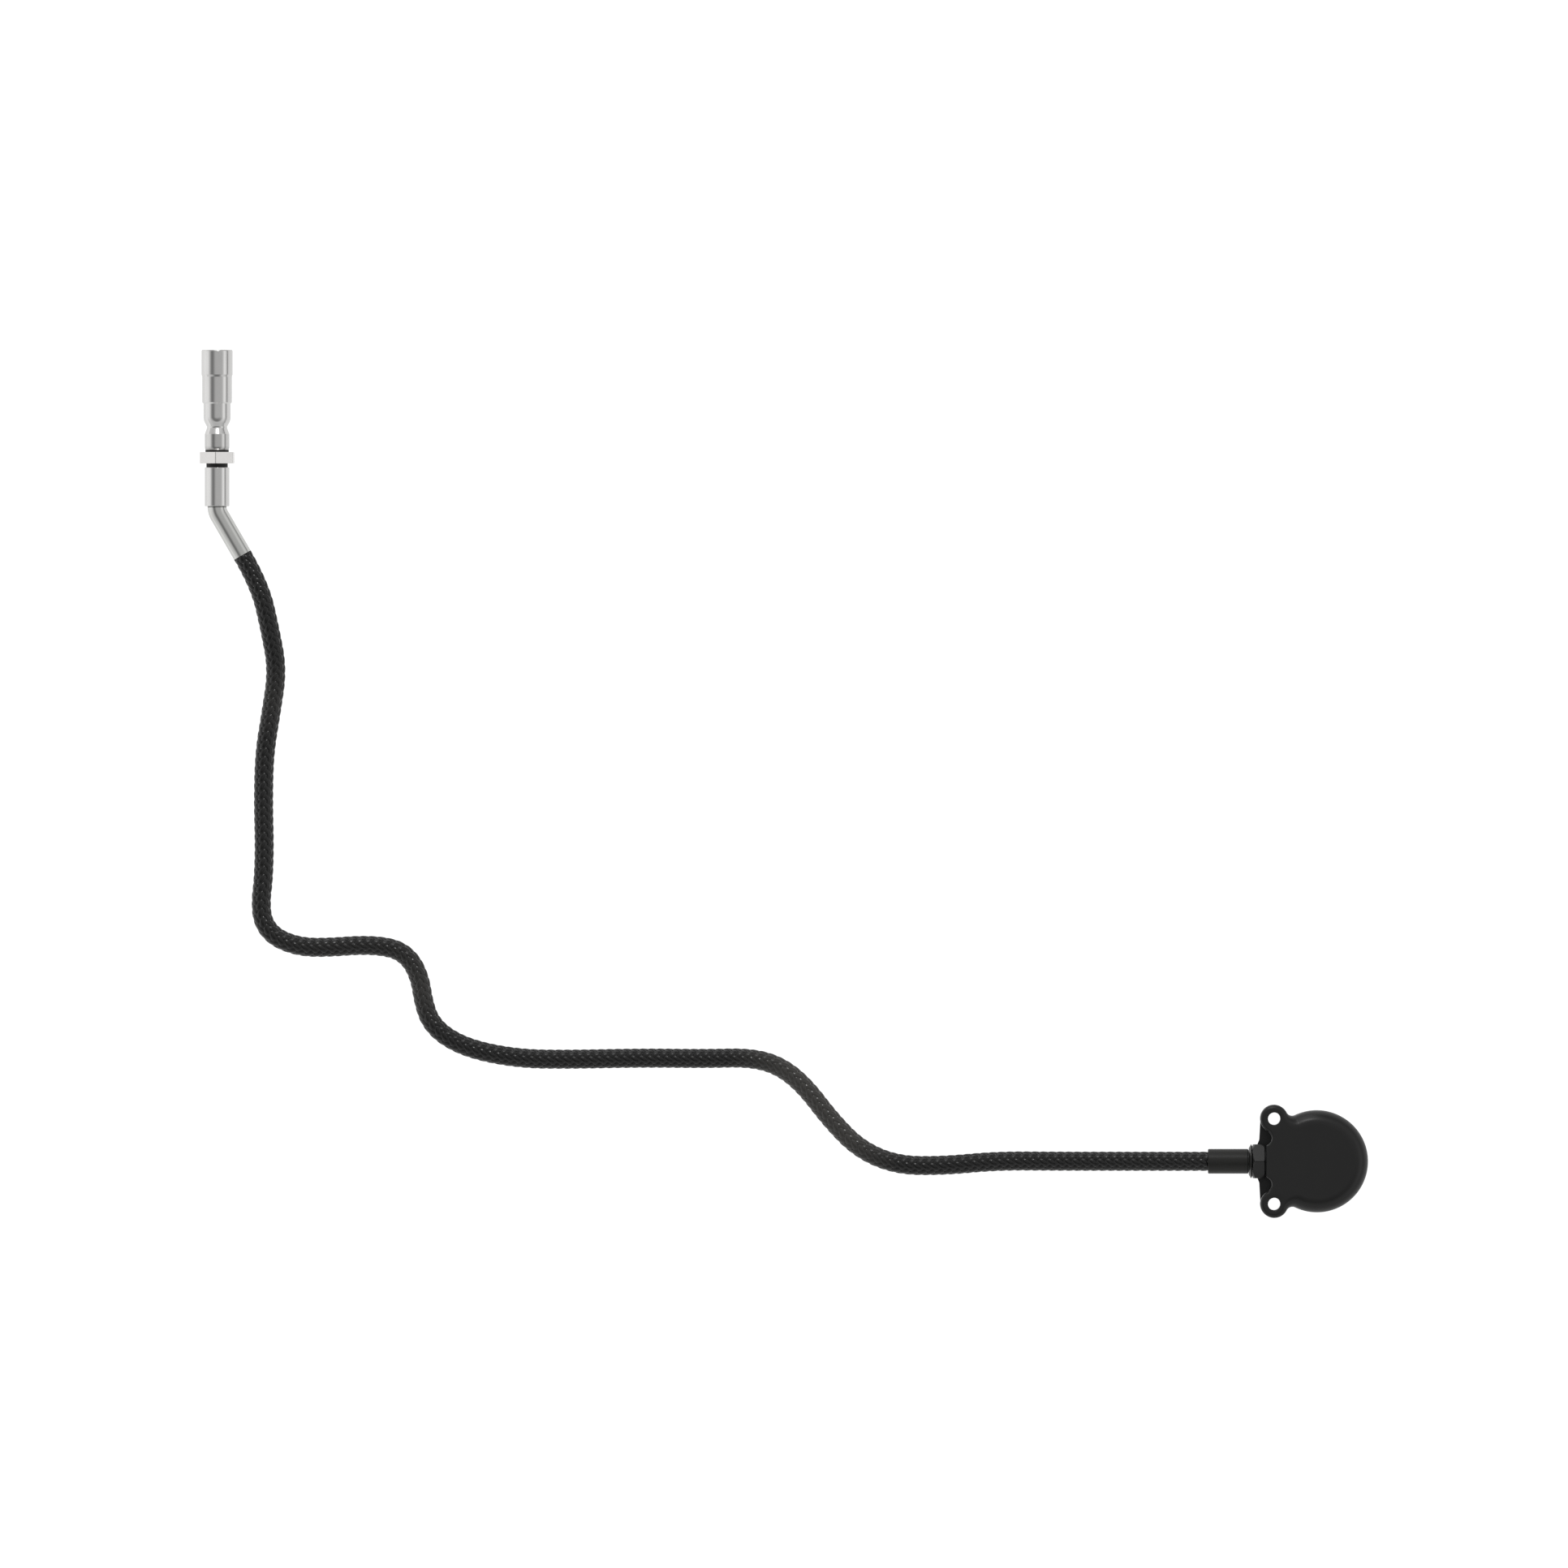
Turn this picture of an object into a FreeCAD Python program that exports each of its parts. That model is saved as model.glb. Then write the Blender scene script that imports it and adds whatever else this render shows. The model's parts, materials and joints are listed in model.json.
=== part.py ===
import FreeCAD, Part

import math
import os

# A cable shutter release: a hand plunger, a braided cable and a release housing with two screw ears.
# All sizes are in millimetres and all angles in degrees.
# X runs along the object, Y across it, and Z stands up from the face that the housing is mounted on.
# The origin lies on that face, midway between the housing's two screw holes.

V = FreeCAD.Vector

# Travel
stroke = 4.0
ramp_rise = 0.75
end_gap = 0.4

# Clearances
slide_fit = 0.04
flat_fit = 0.05
seat_fit = 0.03

# Cable, from the wire outwards
wire_d = 1.0
wire_play = 0.15
conduit_wall = 0.65
conduit_play = 0.1
spigot_wall = 0.55
sheath_play = 0.05
sheath_wall = 0.5
spigot_length = 4.6
spigot_gap = 0.2

# The cable's route, chosen by hand along its centre line, from the bent tube to the ferrule's bore
cable_start = (-262.6, 154.3)
cable_points = [
    (-255.5, 135.0, 4.2),
    (-253.7, 125.0, 3.0),
    (-255.4, 113.7, 2.65),
    (-257.0, 103.9, 2.6),
    (-257.3, 92.0, 2.6),
    (-257.0, 79.8, 2.6),
    (-257.3, 71.4, 2.6),
    (-257.9, 66.7, 2.6),
    (-257.6, 61.5, 2.6),
    (-255.2, 57.8, 2.6),
    (-251.3, 55.6, 2.6),
    (-246.2, 54.4, 2.6),
    (-239.6, 54.5, 2.6),
    (-233.0, 55.0, 2.6),
    (-227.3, 54.8, 2.6),
    (-222.7, 53.7, 2.6),
    (-219.3, 50.7, 2.6),
    (-217.3, 45.9, 2.6),
    (-216.6, 41.1, 2.6),
    (-215.0, 35.8, 2.6),
    (-210.9, 31.6, 2.6),
    (-203.8, 28.3, 2.6),
    (-192.1, 26.1, 2.6),
    (-179.7, 25.9, 2.6),
    (-161.1, 26.3, 2.6),
    (-144.6, 26.1, 2.6),
    (-133.6, 26.4, 2.6),
    (-126.2, 24.5, 2.6),
    (-119.7, 19.5, 2.6),
    (-112.5, 10.1, 2.6),
    (-105.3, 2.9, 2.6),
    (-96.0, -1.0, 2.6),
    (-84.7, -1.2, 2.6),
    (-70.4, 0.1, 2.6),
    (-55.7, 0.0, 2.75),
    (-39.6, 0.0, 4.7),
]
first_run = 8.9
ferrule_run = 15.5
bend_share = 0.45

# Bent tube and sleeve of the hand plunger
tube_wall = 1.05
tube_leg = 12.9
tube_bend_angle = 30.0
tube_bend_radius = 4.5
tube_bend_start = 0.05
tube_socket = 4.6
sleeve_length = 9.9
sleeve_wall = 0.62
sleeve_chamfer = 0.2

# Lock nut and seal rings of the hand plunger
stem_d = 5.0
rear_ring_length = 1.0
rear_ring_wall = 0.2
lock_nut_flats = 8.5
lock_nut_length = 2.9
lock_nut_chamfer = 0.12
lock_nut_chamfer_drop = 0.21
lock_nut_turn = 4.0
front_ring_length = 0.6
front_ring_wall = 0.47
stem_engagement = 5.0

# Barrel of the hand plunger
collar_wall = 0.65
collar_length = 4.0
flare_length = 1.55
waist_wall = 1.38
shoulder_length = 1.95
shoulder_round = 1.1
waist_round = 0.7
barrel_wall = 0.68
barrel_bore = 5.6
barrel_overlap = 7.72
travel_margin = 0.25

# Push cap, its rod and its spring
cap_wall = 0.29
cap_edge_chamfer = 0.07
cap_rim_step = 0.18
cap_rim_length = 6.35
cap_rim_chamfer = 0.55
cap_end_wall = 1.6
cap_top_chamfer = 0.35
cap_dish_depth = 0.35
cap_dish_radius = 3.0
rod_d = 2.2
rod_seat_depth = 0.9
stop_ring_length = 0.6
stop_ring_wall = 0.7
stop_ring_chamfer = 0.12
stop_chamber_play = 0.2
rod_tail = 2.0
wire_grip = 1.0
plunger_spring_wire = 0.5
plunger_spring_play = 0.25
plunger_spring_turns = 9

# Ends of the conduit
conduit_ferrule_wall = 0.25
conduit_ferrule_length = 2.6

# Cable's end at the housing
ferrule_wall = 0.62
ferrule_length = 10.3
ferrule_rim = 0.35
ferrule_end_wall = 1.4
ferrule_gap = 0.08
gland_collar_wall = 2.27
gland_collar_length = 0.94
gland_collar_round = 0.2
gland_collar_end = 0.3
gland_collar_end_wall = 1.0
gland_thread_d = 4.0
gland_nut_flats = 8.65
gland_nut_length = 3.0
gland_nut_chamfer = 0.83
gland_nut_chamfer_drop = 0.67
gland_nut_inner_chamfer = 0.35
gland_nut_inner_drop = 0.6
gland_washer_length = 0.5
gland_washer_wall = 1.9
stud_flange_wall = 2.0
stud_flange_length = 1.0

# Housing
side_wall = 1.62
front_wall = 1.5
top_wall = 1.4
base_thickness = 1.6
gasket_thickness = 0.4
disc_offset = 10.9
ear_spacing = 21.7
ear_hole_d = 3.2
ear_wall = 1.95
neck_radius = 1.65
disc_round = 1.9
ear_round = 0.6
front_flat_half = 4.1
scallop_radius = 1.86
scallop_offset = 0.5
scallop_wall_angle = 35.0
nut_floor_gap = 0.4
web_reach = 2.9
web_half = 2.64
web_shoulder_reach = 1.75
web_shoulder_half = 5.5
web_ear_angle = 12.0
web_round = 1.2

# Cover screws
screw_d = 1.6
screw_head_d = 3.0
screw_head_sink = 0.1
screw_length = 5.0
screw_boss_wall = 0.9
screw_circle_inset = 1.2
screw_tip_gap = 0.6

# Wedge drive in the housing
drive_gap = 0.5
socket_spare = 0.2
slider_half_width = 2.95
slider_flange = 0.95
slider_flange_thickness = 1.05
pin_head_overlap = 0.26
slider_tail = 2.9
slider_ceiling_gap = 0.1
cradle_wall = 0.8
cradle_floor = 0.6
pad_thickness = 0.55
pad_gap = 0.15
pad_half = 2.4
pad_drop = 1.5
cradle_corner_gap = 0.3
grub_screw_d = 1.5
grub_screw_inset = 0.6
grub_screw_sink = 0.8
slot_depth = 0.35
slot_width = 0.35
rivet_d = 1.5
rivet_head_d = 2.6
rivet_head_height = 0.5
rivet_sink = 0.3
rivet_inset = 2.05
rivet_far_inset = 2.8

# Release pin
pin_d = 3.0
pin_recess = 0.2
bush_recess = 0.1
pin_tip_chamfer = 0.3
pin_head_length = 4.0
pin_flange_height = 0.9
bush_wall = 0.7
bush_seat_wall = 0.3
bush_height = 1.6
pin_spring_wire = 0.45
pin_spring_play = 0.15
pin_spring_turns = 3

# Worked out from the sizes above: cable
wire_bore_r = wire_d / 2 + wire_play
conduit_r = wire_bore_r + conduit_wall
bore_r = conduit_r + conduit_play
jacket_r = bore_r + spigot_wall
sheath_bore_r = jacket_r + sheath_play
cable_r = sheath_bore_r + sheath_wall

# Worked out: hand plunger, as heights above the sleeve's lower end
stem_r = stem_d / 2
tube_r = bore_r + tube_wall
sleeve_r = stem_r + seat_fit + sleeve_wall
tube_bend_tangent = tube_bend_radius * math.tan(math.radians(tube_bend_angle / 2))
tube_stem = tube_bend_tangent + tube_bend_start
rear_ring_at = sleeve_length
lock_nut_at = rear_ring_at + rear_ring_length
front_ring_at = lock_nut_at + lock_nut_length
collar_at = front_ring_at + front_ring_length
flare_at = collar_at + collar_length
waist_at = flare_at + flare_length
shoulder_at = waist_at + shoulder_length
skirt_at = shoulder_at + stroke + travel_margin
barrel_top = skirt_at + barrel_overlap
cap_roof = barrel_top + stroke + end_gap
cap_top = cap_roof + cap_end_wall
stem_bottom = sleeve_length - stem_engagement
lock_nut_corner_r = lock_nut_flats / 2 / math.cos(math.radians(30))
head_z = lock_nut_corner_r * math.cos(math.radians(lock_nut_turn))

# Worked out: rod, stop ring and the wire's free end
rod_r = rod_d / 2
rod_bore_r = rod_r + slide_fit
waist_r = rod_bore_r + waist_wall
collar_r = stem_r + collar_wall
spring_bore_r = barrel_bore / 2
barrel_r = spring_bore_r + barrel_wall
cap_bore_r = barrel_r + slide_fit
skirt_r = cap_bore_r + cap_wall
rim_r = skirt_r + cap_rim_step
spring_floor = shoulder_at
stop_face = flare_at - flat_fit
stop_ring_r = rod_r + stop_ring_wall
stop_chamber_r = stop_ring_r + stop_chamber_play
rod_bottom = stop_face - stop_ring_length - rod_tail
stop_chamber_floor = rod_bottom - stroke - end_gap
rod_drill_r = wire_d / 2 + slide_fit
rod_drill_depth = stroke + wire_grip + end_gap
wire_top = rod_bottom + wire_grip
conduit_top = stem_bottom + conduit_ferrule_length
conduit_ferrule_r = conduit_r + seat_fit + conduit_ferrule_wall

# Worked out: release pin and wedge drive, as heights above the mounting face
pin_r = pin_d / 2
pin_travel = stroke * ramp_rise
bush_bore_r = pin_r + slide_fit
bush_r = bush_bore_r + bush_wall
bush_seat_r = bush_r + bush_seat_wall
floor_top = base_thickness + cradle_floor
pin_flange_at = floor_top + pin_travel + pin_spring_turns * pin_spring_wire + pin_spring_play * 2
pin_head_at = pin_flange_at + pin_flange_height
pin_head_rise = pin_head_length * ramp_rise
ramp_start_z = pin_head_at + flat_fit - pin_travel
cradle_top = pin_head_at + pin_head_rise - pin_head_overlap
slider_top = cradle_top + flat_fit + slider_flange_thickness
ceiling = slider_top + slider_ceiling_gap
housing_height = ceiling + top_wall

# Worked out: plan of the housing
pin_x = disc_offset
ramp_start_x = pin_x - pin_head_length / 2 - stroke
ramp_end_x = pin_x + pin_head_length / 2 + end_gap / 2
slider_end_x = ramp_end_x + slider_tail
pad_x = slider_end_x + stroke + pad_gap
cradle_end_x = pad_x + pad_thickness + cradle_floor
channel_half = slider_half_width + flat_fit
cradle_half = channel_half + cradle_wall
cavity_r = math.hypot(cradle_end_x - pin_x, cradle_half) + cradle_corner_gap
disc_r = cavity_r + side_wall
front_x = pin_x - cavity_r - front_wall
stud_seat_x = front_x + front_wall - flat_fit
stud_end_x = stud_seat_x + stud_flange_length
cradle_start_x = stud_end_x + drive_gap
slider_start_x = cradle_start_x + drive_gap / 2
socket_depth = stroke + wire_grip + socket_spare
wire_end_x = slider_start_x + stroke + wire_grip
ear_y = ear_spacing / 2
ear_hole_r = ear_hole_d / 2
ear_r = ear_hole_r + ear_wall
scallop_x = front_x - scallop_offset
scallop_y = front_flat_half + math.sqrt(scallop_radius ** 2 - scallop_offset ** 2)
wire_slide_r = wire_d / 2 + slide_fit
grub_x = slider_start_x + grub_screw_inset + grub_screw_d / 2
rivet_places = [cradle_start_x + rivet_inset, cradle_end_x - rivet_far_inset]
gland_nut_corner_r = gland_nut_flats / 2 / math.cos(math.radians(30))
cable_z = base_thickness + nut_floor_gap + gland_nut_corner_r

# Worked out: cable's end at the housing, as distances outwards from the housing's front face
gland_r = gland_thread_d / 2
gland_seat_r = gland_r + seat_fit
gland_nut_at = gland_washer_length
gland_collar_at = gland_nut_at + gland_nut_length + flat_fit
ferrule_at = gland_collar_at + gland_collar_length + ferrule_gap
ferrule_mouth = ferrule_at + ferrule_length
ferrule_bore_r = cable_r + seat_fit
ferrule_r = ferrule_bore_r + ferrule_wall
sheath_end = ferrule_at + ferrule_end_wall
stud_inner = front_x - stud_end_x
stud_flange_r = gland_r + stud_flange_wall


def corner_arc(before, at, after, radius):
    """The start, middle and end of the arc of this radius that is tangent to a corner's two runs."""
    back = (before - at).normalize()
    ahead = (after - at).normalize()
    half = back.getAngle(ahead) / 2
    reach = radius / math.tan(half)
    inward = (back + ahead).normalize()
    middle = at + inward * (radius / math.sin(half) - radius)
    return at + back * reach, middle, at + ahead * reach


def rounded_wire(points, radii, closed=False):
    """Straight runs between the points, with a tangent arc at each corner whose radius isn't zero."""
    spots = [V(*p) for p in points]
    count = len(spots)
    corners = range(count) if closed else range(1, count - 1)
    steps = [] if closed else [(spots[0], None, spots[0])]
    for i in corners:
        if radii[i] > 0:
            steps.append(corner_arc(spots[i - 1], spots[i], spots[(i + 1) % count], radii[i]))
        else:
            steps.append((spots[i], None, spots[i]))
    steps.append(steps[0] if closed else (spots[-1], None, spots[-1]))
    edges = []
    for i, (enter, middle, leave) in enumerate(steps):
        if i > 0 and steps[i - 1][2].distanceToPoint(enter) > 1e-6:
            edges.append(Part.LineSegment(steps[i - 1][2], enter).toShape())
        if middle is not None and not (closed and i == 0):
            edges.append(Part.Arc(enter, middle, leave).toShape())
    return Part.Wire(edges)


def frame_at(origin, axis):
    """A placement whose own X axis points along the given axis."""
    return FreeCAD.Placement(V(*origin), FreeCAD.Rotation(V(1, 0, 0), V(*axis)))


def placed(shape, frame):
    """The shape, moved from its own frame into the object's."""
    moved = shape.copy()
    moved.Placement = frame
    return moved


def turned(frame, outline):
    """A turned solid from a closed outline of (station, radius) or (station, radius, corner radius)."""
    points = [(p[0], p[1], 0) for p in outline]
    radii = [p[2] if len(p) > 2 else 0 for p in outline]
    face = Part.Face(rounded_wire(points, radii, closed=True))
    return placed(face.revolve(V(0, 0, 0), V(1, 0, 0), 360), frame)


def ring(frame, start, end, inner, outer, chamfer=0.0):
    """A turned ring with the same small chamfer on both of its outer edges."""
    outline = [(start, inner), (start, outer - chamfer), (start + chamfer, outer)]
    outline += [(end - chamfer, outer), (end, outer - chamfer), (end, inner)]
    if chamfer == 0:
        outline = [(start, inner), (start, outer), (end, outer), (end, inner)]
    return turned(frame, outline)


def rod(frame, start, end, radius):
    """A plain round bar."""
    return turned(frame, [(start, 0), (start, radius), (end, radius), (end, 0)])


def hex_nut(frame, start, length, flats, bore, near, far, turn):
    """A hex nut whose corner points up when turn is zero. Near and far are the chamfers' length and drop."""
    corner = flats / 2 / math.cos(math.radians(30))
    points = []
    for k in range(6):
        angle = math.radians(60 * k + turn)
        points.append((start, corner * math.sin(angle), corner * math.cos(angle)))
    prism = Part.Face(rounded_wire(points, [0] * 6, closed=True)).extrude(V(length, 0, 0))
    end = start + length
    blank = [(start, bore), (start, corner - near[1]), (start + near[0], corner)]
    blank += [(end - far[0], corner), (end, corner - far[1]), (end, bore)]
    return placed(prism, frame).common(turned(frame, blank))


def tube(points, radii, inner, outer):
    """A tube, or a wire when inner is zero, along straight runs joined by tangent arcs."""
    path = rounded_wire(points, radii)
    start = V(*points[0])
    heading = V(*points[1]) - start
    section = Part.Face(Part.Wire(Part.Circle(start, heading, outer).toShape()))
    if inner > 0:
        bore = Part.Face(Part.Wire(Part.Circle(start, heading, inner).toShape()))
        section = section.cut(bore).Faces[0]
    solid = path.makePipe(section)
    if solid.ShapeType != "Solid":
        solid = Part.Solid(solid.Shells[0])
    expected = math.pi * (outer ** 2 - inner ** 2) * path.Length
    print("  tube length %.1f, volume %.1f" % (path.Length, solid.Volume))
    print("    section times length %.1f" % expected)
    return solid


def coil(frame, start, end, mean_r, wire, turns):
    """A round-wire spring: eight equal tangent arcs to a turn, whose corners lie on a wider helix."""
    sides = 8
    half = math.pi / sides
    corner_r = mean_r / math.cos(half)
    steps = turns * sides
    points = []
    for i in range(steps + 2):
        angle = 2 * half * (i - 0.5)
        station = start + (end - start) * (i - 0.5) / steps
        points.append((station, corner_r * math.cos(angle), corner_r * math.sin(angle)))
    run = (V(*points[1]) - V(*points[0])).Length
    radii = []
    for i in range(len(points)):
        radii.append(0)
    for i in range(1, len(points) - 1):
        back = V(*points[i - 1]) - V(*points[i])
        ahead = V(*points[i + 1]) - V(*points[i])
        radii[i] = run / 2 * math.tan(back.getAngle(ahead) / 2)
    first = (V(*points[0]) + V(*points[1])) * 0.5
    last = (V(*points[-1]) + V(*points[-2])) * 0.5
    path = [tuple(first)] + points[1:-1] + [tuple(last)]
    wire_path = rounded_wire(path, radii)
    section = Part.Wire(Part.Circle(first, V(*points[1]) - first, wire / 2).toShape())
    return placed(wire_path.makePipeShell([section], True, False), frame)


def prism(points, low, high, radii=None):
    """A flat outline in plan, raised from one height to another."""
    spots = [(p[0], p[1], low) for p in points]
    face = Part.Face(rounded_wire(spots, radii or [0] * len(spots), closed=True))
    return face.extrude(V(0, 0, high - low))


def block(x0, x1, half_width, z0, z1):
    """A box that is centred on the object's X axis."""
    return Part.makeBox(x1 - x0, 2 * half_width, z1 - z0, V(x0, -half_width, z0))


def side_profile(points, half_width):
    """An outline of (x, z) points, carried across the X axis by the half width on each side."""
    face = Part.Face(rounded_wire([(x, -half_width, z) for x, z in points], [0] * len(points), closed=True))
    return face.extrude(V(0, 2 * half_width, 0))


def post(x, y, low, high, radius):
    """A plain upright cylinder."""
    return Part.makeCylinder(radius, high - low, V(x, y, low))


def both(x, y, low, high, radius):
    """Two upright cylinders, one each side of the X axis."""
    return post(x, y, low, high, radius).fuse(post(x, -y, low, high, radius))


# Frames: the plunger's axis points away from the cable, the gland's axis points out of the housing
lean = math.radians(tube_bend_angle)
tube_way = (math.sin(lean), -math.cos(lean))
head_x = cable_start[0] - tube_leg * tube_way[0]
elbow_y = cable_start[1] - tube_leg * tube_way[1]
head = frame_at((head_x, elbow_y + tube_stem, head_z), (0, 1, 0))
gland = frame_at((front_x, 0, cable_z), (-1, 0, 0))
upright = frame_at((pin_x, 0, 0), (0, 0, 1))


def head_point(station):
    """A point on the plunger's axis, as a height above the sleeve's lower end."""
    return (head_x, elbow_y + tube_stem + station, head_z)


def gland_point(station):
    """A point on the gland's axis, as a distance outwards from the housing's front face."""
    return (front_x - station, 0, cable_z)


def cable_route():
    """The sheath's route: along the bent tube first, through the points and into the ferrule."""
    start = (cable_start[0], cable_start[1], head_z)
    lead = (start[0] + first_run * tube_way[0], start[1] + first_run * tube_way[1], head_z)
    end = gland_point(sheath_end)
    turn_in = (end[0] - ferrule_run, end[1], end[2])
    return [start, lead] + cable_points + [turn_in, end]


def bend_radii(route):
    """At each inner point, the radius of the largest arc that its two runs leave room for."""
    radii = [0]
    for i in range(1, len(route) - 1):
        back = V(*route[i - 1]) - V(*route[i])
        ahead = V(*route[i + 1]) - V(*route[i])
        half_turn = (math.pi - back.getAngle(ahead)) / 2
        radii.append(bend_share * min(back.Length, ahead.Length) / math.tan(half_turn))
    return radii + [0]


route = cable_route()
radii = bend_radii(route)
inner_radii = [0, tube_bend_radius] + radii[1:-1] + [0]


def inner_route(top, end):
    """The route of what runs inside: down the plunger, round the bent tube, and on into the housing."""
    elbow = (head_x, elbow_y, head_z)
    return [head_point(top), elbow] + route[1:-1] + [end]


def make_push_cap():
    """Thimble-shaped push cap: a wide rim, a slightly narrower skirt and a dished top."""
    rim_low = cap_top - cap_rim_length
    outline = [
        (skirt_at, cap_bore_r),
        (skirt_at, skirt_r - cap_edge_chamfer),
        (skirt_at + cap_edge_chamfer, skirt_r),
        (rim_low - cap_rim_chamfer, skirt_r),
        (rim_low, rim_r),
        (cap_top - cap_top_chamfer, rim_r, cap_top_chamfer),
        (cap_top, rim_r - cap_top_chamfer, cap_top_chamfer / 2),
        (cap_top, cap_dish_radius),
        (cap_top - cap_dish_depth, 0),
        (cap_roof, 0),
        (cap_roof, cap_bore_r),
    ]
    seat = rod(head, cap_roof - flat_fit, cap_roof + rod_seat_depth, rod_r + seat_fit)
    return turned(head, outline).cut(seat)


def make_plunger_rod():
    """Steel rod from the cap down through the waist, drilled at its lower end for the wire."""
    outline = [
        (rod_bottom, rod_drill_r),
        (rod_bottom, rod_r),
        (cap_roof + rod_seat_depth - flat_fit, rod_r),
        (cap_roof + rod_seat_depth - flat_fit, 0),
        (rod_bottom + rod_drill_depth, 0),
        (rod_bottom + rod_drill_depth, rod_drill_r),
    ]
    return turned(head, outline)


def make_plunger_barrel():
    """Turned barrel: the cap's guide, shoulder, waist, flare and collar, and the stem below."""
    outline = [
        (stem_bottom, stem_r),
        (collar_at, stem_r),
        (collar_at, collar_r),
        (flare_at, collar_r, waist_round / 2),
        (waist_at, waist_r, waist_round),
        (shoulder_at, barrel_r, shoulder_round),
        (barrel_top, barrel_r),
        (barrel_top, spring_bore_r),
        (spring_floor, spring_bore_r),
        (spring_floor, rod_bore_r),
        (flare_at, rod_bore_r),
        (flare_at, stop_chamber_r),
        (stop_chamber_floor, stop_chamber_r),
        (stop_chamber_floor, bore_r),
        (conduit_top, bore_r),
        (conduit_top, conduit_ferrule_r + seat_fit),
        (stem_bottom, conduit_ferrule_r + seat_fit),
    ]
    return turned(head, outline)


def make_sleeve():
    """Sleeve that joins the barrel's stem to the bent tube."""
    outline = [
        (0, tube_r + seat_fit),
        (0, sleeve_r - sleeve_chamfer),
        (sleeve_chamfer, sleeve_r),
        (sleeve_length - sleeve_chamfer, sleeve_r),
        (sleeve_length, sleeve_r - sleeve_chamfer),
        (sleeve_length, stem_r + seat_fit),
        (stem_bottom, stem_r + seat_fit),
        (stem_bottom, tube_r + seat_fit),
    ]
    return turned(head, outline)


def make_elbow_tube():
    """Bent tube, with a thinner spigot that enters the cable's sheath."""
    start = V(cable_start[0], cable_start[1], head_z)
    way = V(tube_way[0], tube_way[1], 0)
    points = [head_point(tube_socket), (head_x, elbow_y, head_z), tuple(start)]
    bent = tube(points, [0, tube_bend_radius, 0], bore_r, tube_r)
    spigot = Part.makeCylinder(jacket_r, spigot_length, start, way)
    spigot = spigot.cut(Part.makeCylinder(bore_r, spigot_length, start, way))
    return bent.fuse(spigot).removeSplitter()


def make_conduit_ferrules():
    """Two equal brass ferrules, one on each end of the conduit."""
    inner = conduit_r + seat_fit
    near = ring(head, stem_bottom, conduit_top, inner, conduit_ferrule_r)
    far = ring(gland, stud_inner, stud_inner + conduit_ferrule_length, inner, conduit_ferrule_r)
    return Part.makeCompound([near, far])


def make_gland_stud():
    """Stud that holds the cable: spigot, thread and a flange that seats on the inside of the wall."""
    seat = stud_inner + stud_flange_length
    ferrule_bore = conduit_ferrule_r + seat_fit
    counterbore_end = stud_inner + conduit_ferrule_length
    outline = [
        (stud_inner, ferrule_bore),
        (stud_inner, stud_flange_r),
        (seat, stud_flange_r),
        (seat, gland_r),
        (sheath_end - flat_fit, gland_r),
        (sheath_end - flat_fit, jacket_r),
        (sheath_end + spigot_length, jacket_r),
        (sheath_end + spigot_length, bore_r),
        (counterbore_end, bore_r),
        (counterbore_end, ferrule_bore),
    ]
    return turned(gland, outline)


def make_cable_ferrule():
    """Crimped ferrule over the sheath's end, closed towards the gland."""
    outline = [
        (ferrule_at, gland_r + seat_fit),
        (ferrule_at, ferrule_r - ferrule_rim),
        (ferrule_at + ferrule_rim, ferrule_r, ferrule_rim / 2),
        (ferrule_mouth - ferrule_rim, ferrule_r, ferrule_rim / 2),
        (ferrule_mouth, ferrule_r - ferrule_rim),
        (ferrule_mouth, ferrule_bore_r),
        (sheath_end, ferrule_bore_r),
        (sheath_end, gland_r + seat_fit),
    ]
    return turned(gland, outline)


def make_gland_collar():
    """Round collar outside the gland nut, as wide as the nut's flats, with a shallow cone for its end."""
    outer = gland_seat_r + gland_collar_wall
    end = gland_collar_at + gland_collar_length
    outline = [
        (gland_collar_at, gland_seat_r),
        (gland_collar_at, outer),
        (end - gland_collar_end, outer, gland_collar_round),
        (end, gland_seat_r + gland_collar_end_wall),
        (end, gland_seat_r),
    ]
    return turned(gland, outline)


def ears(low, high):
    """The two round ears, without their holes."""
    return both(0, ear_y, low, high, ear_r)


def neck_webs(low, high):
    """What fills the hollow necks between the ears and the disc, rounded by the neck radius."""
    span = math.hypot(pin_x, ear_y)
    to_ear = ear_r + neck_radius
    to_disc = disc_r + neck_radius
    along = (span ** 2 + to_ear ** 2 - to_disc ** 2) / (2 * span)
    away = math.sqrt(to_ear ** 2 - along ** 2)
    x = (pin_x * along + ear_y * away) / span
    y = ear_y + (pin_x * away - ear_y * along) / span
    webs = []
    for side in (1, -1):
        wedge = prism([(0, side * ear_y), (x, side * y), (pin_x, 0)], low, high)
        webs.append(wedge.cut(post(x, side * y, low, high, neck_radius)))
    return webs[0].fuse(webs[1])


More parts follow.
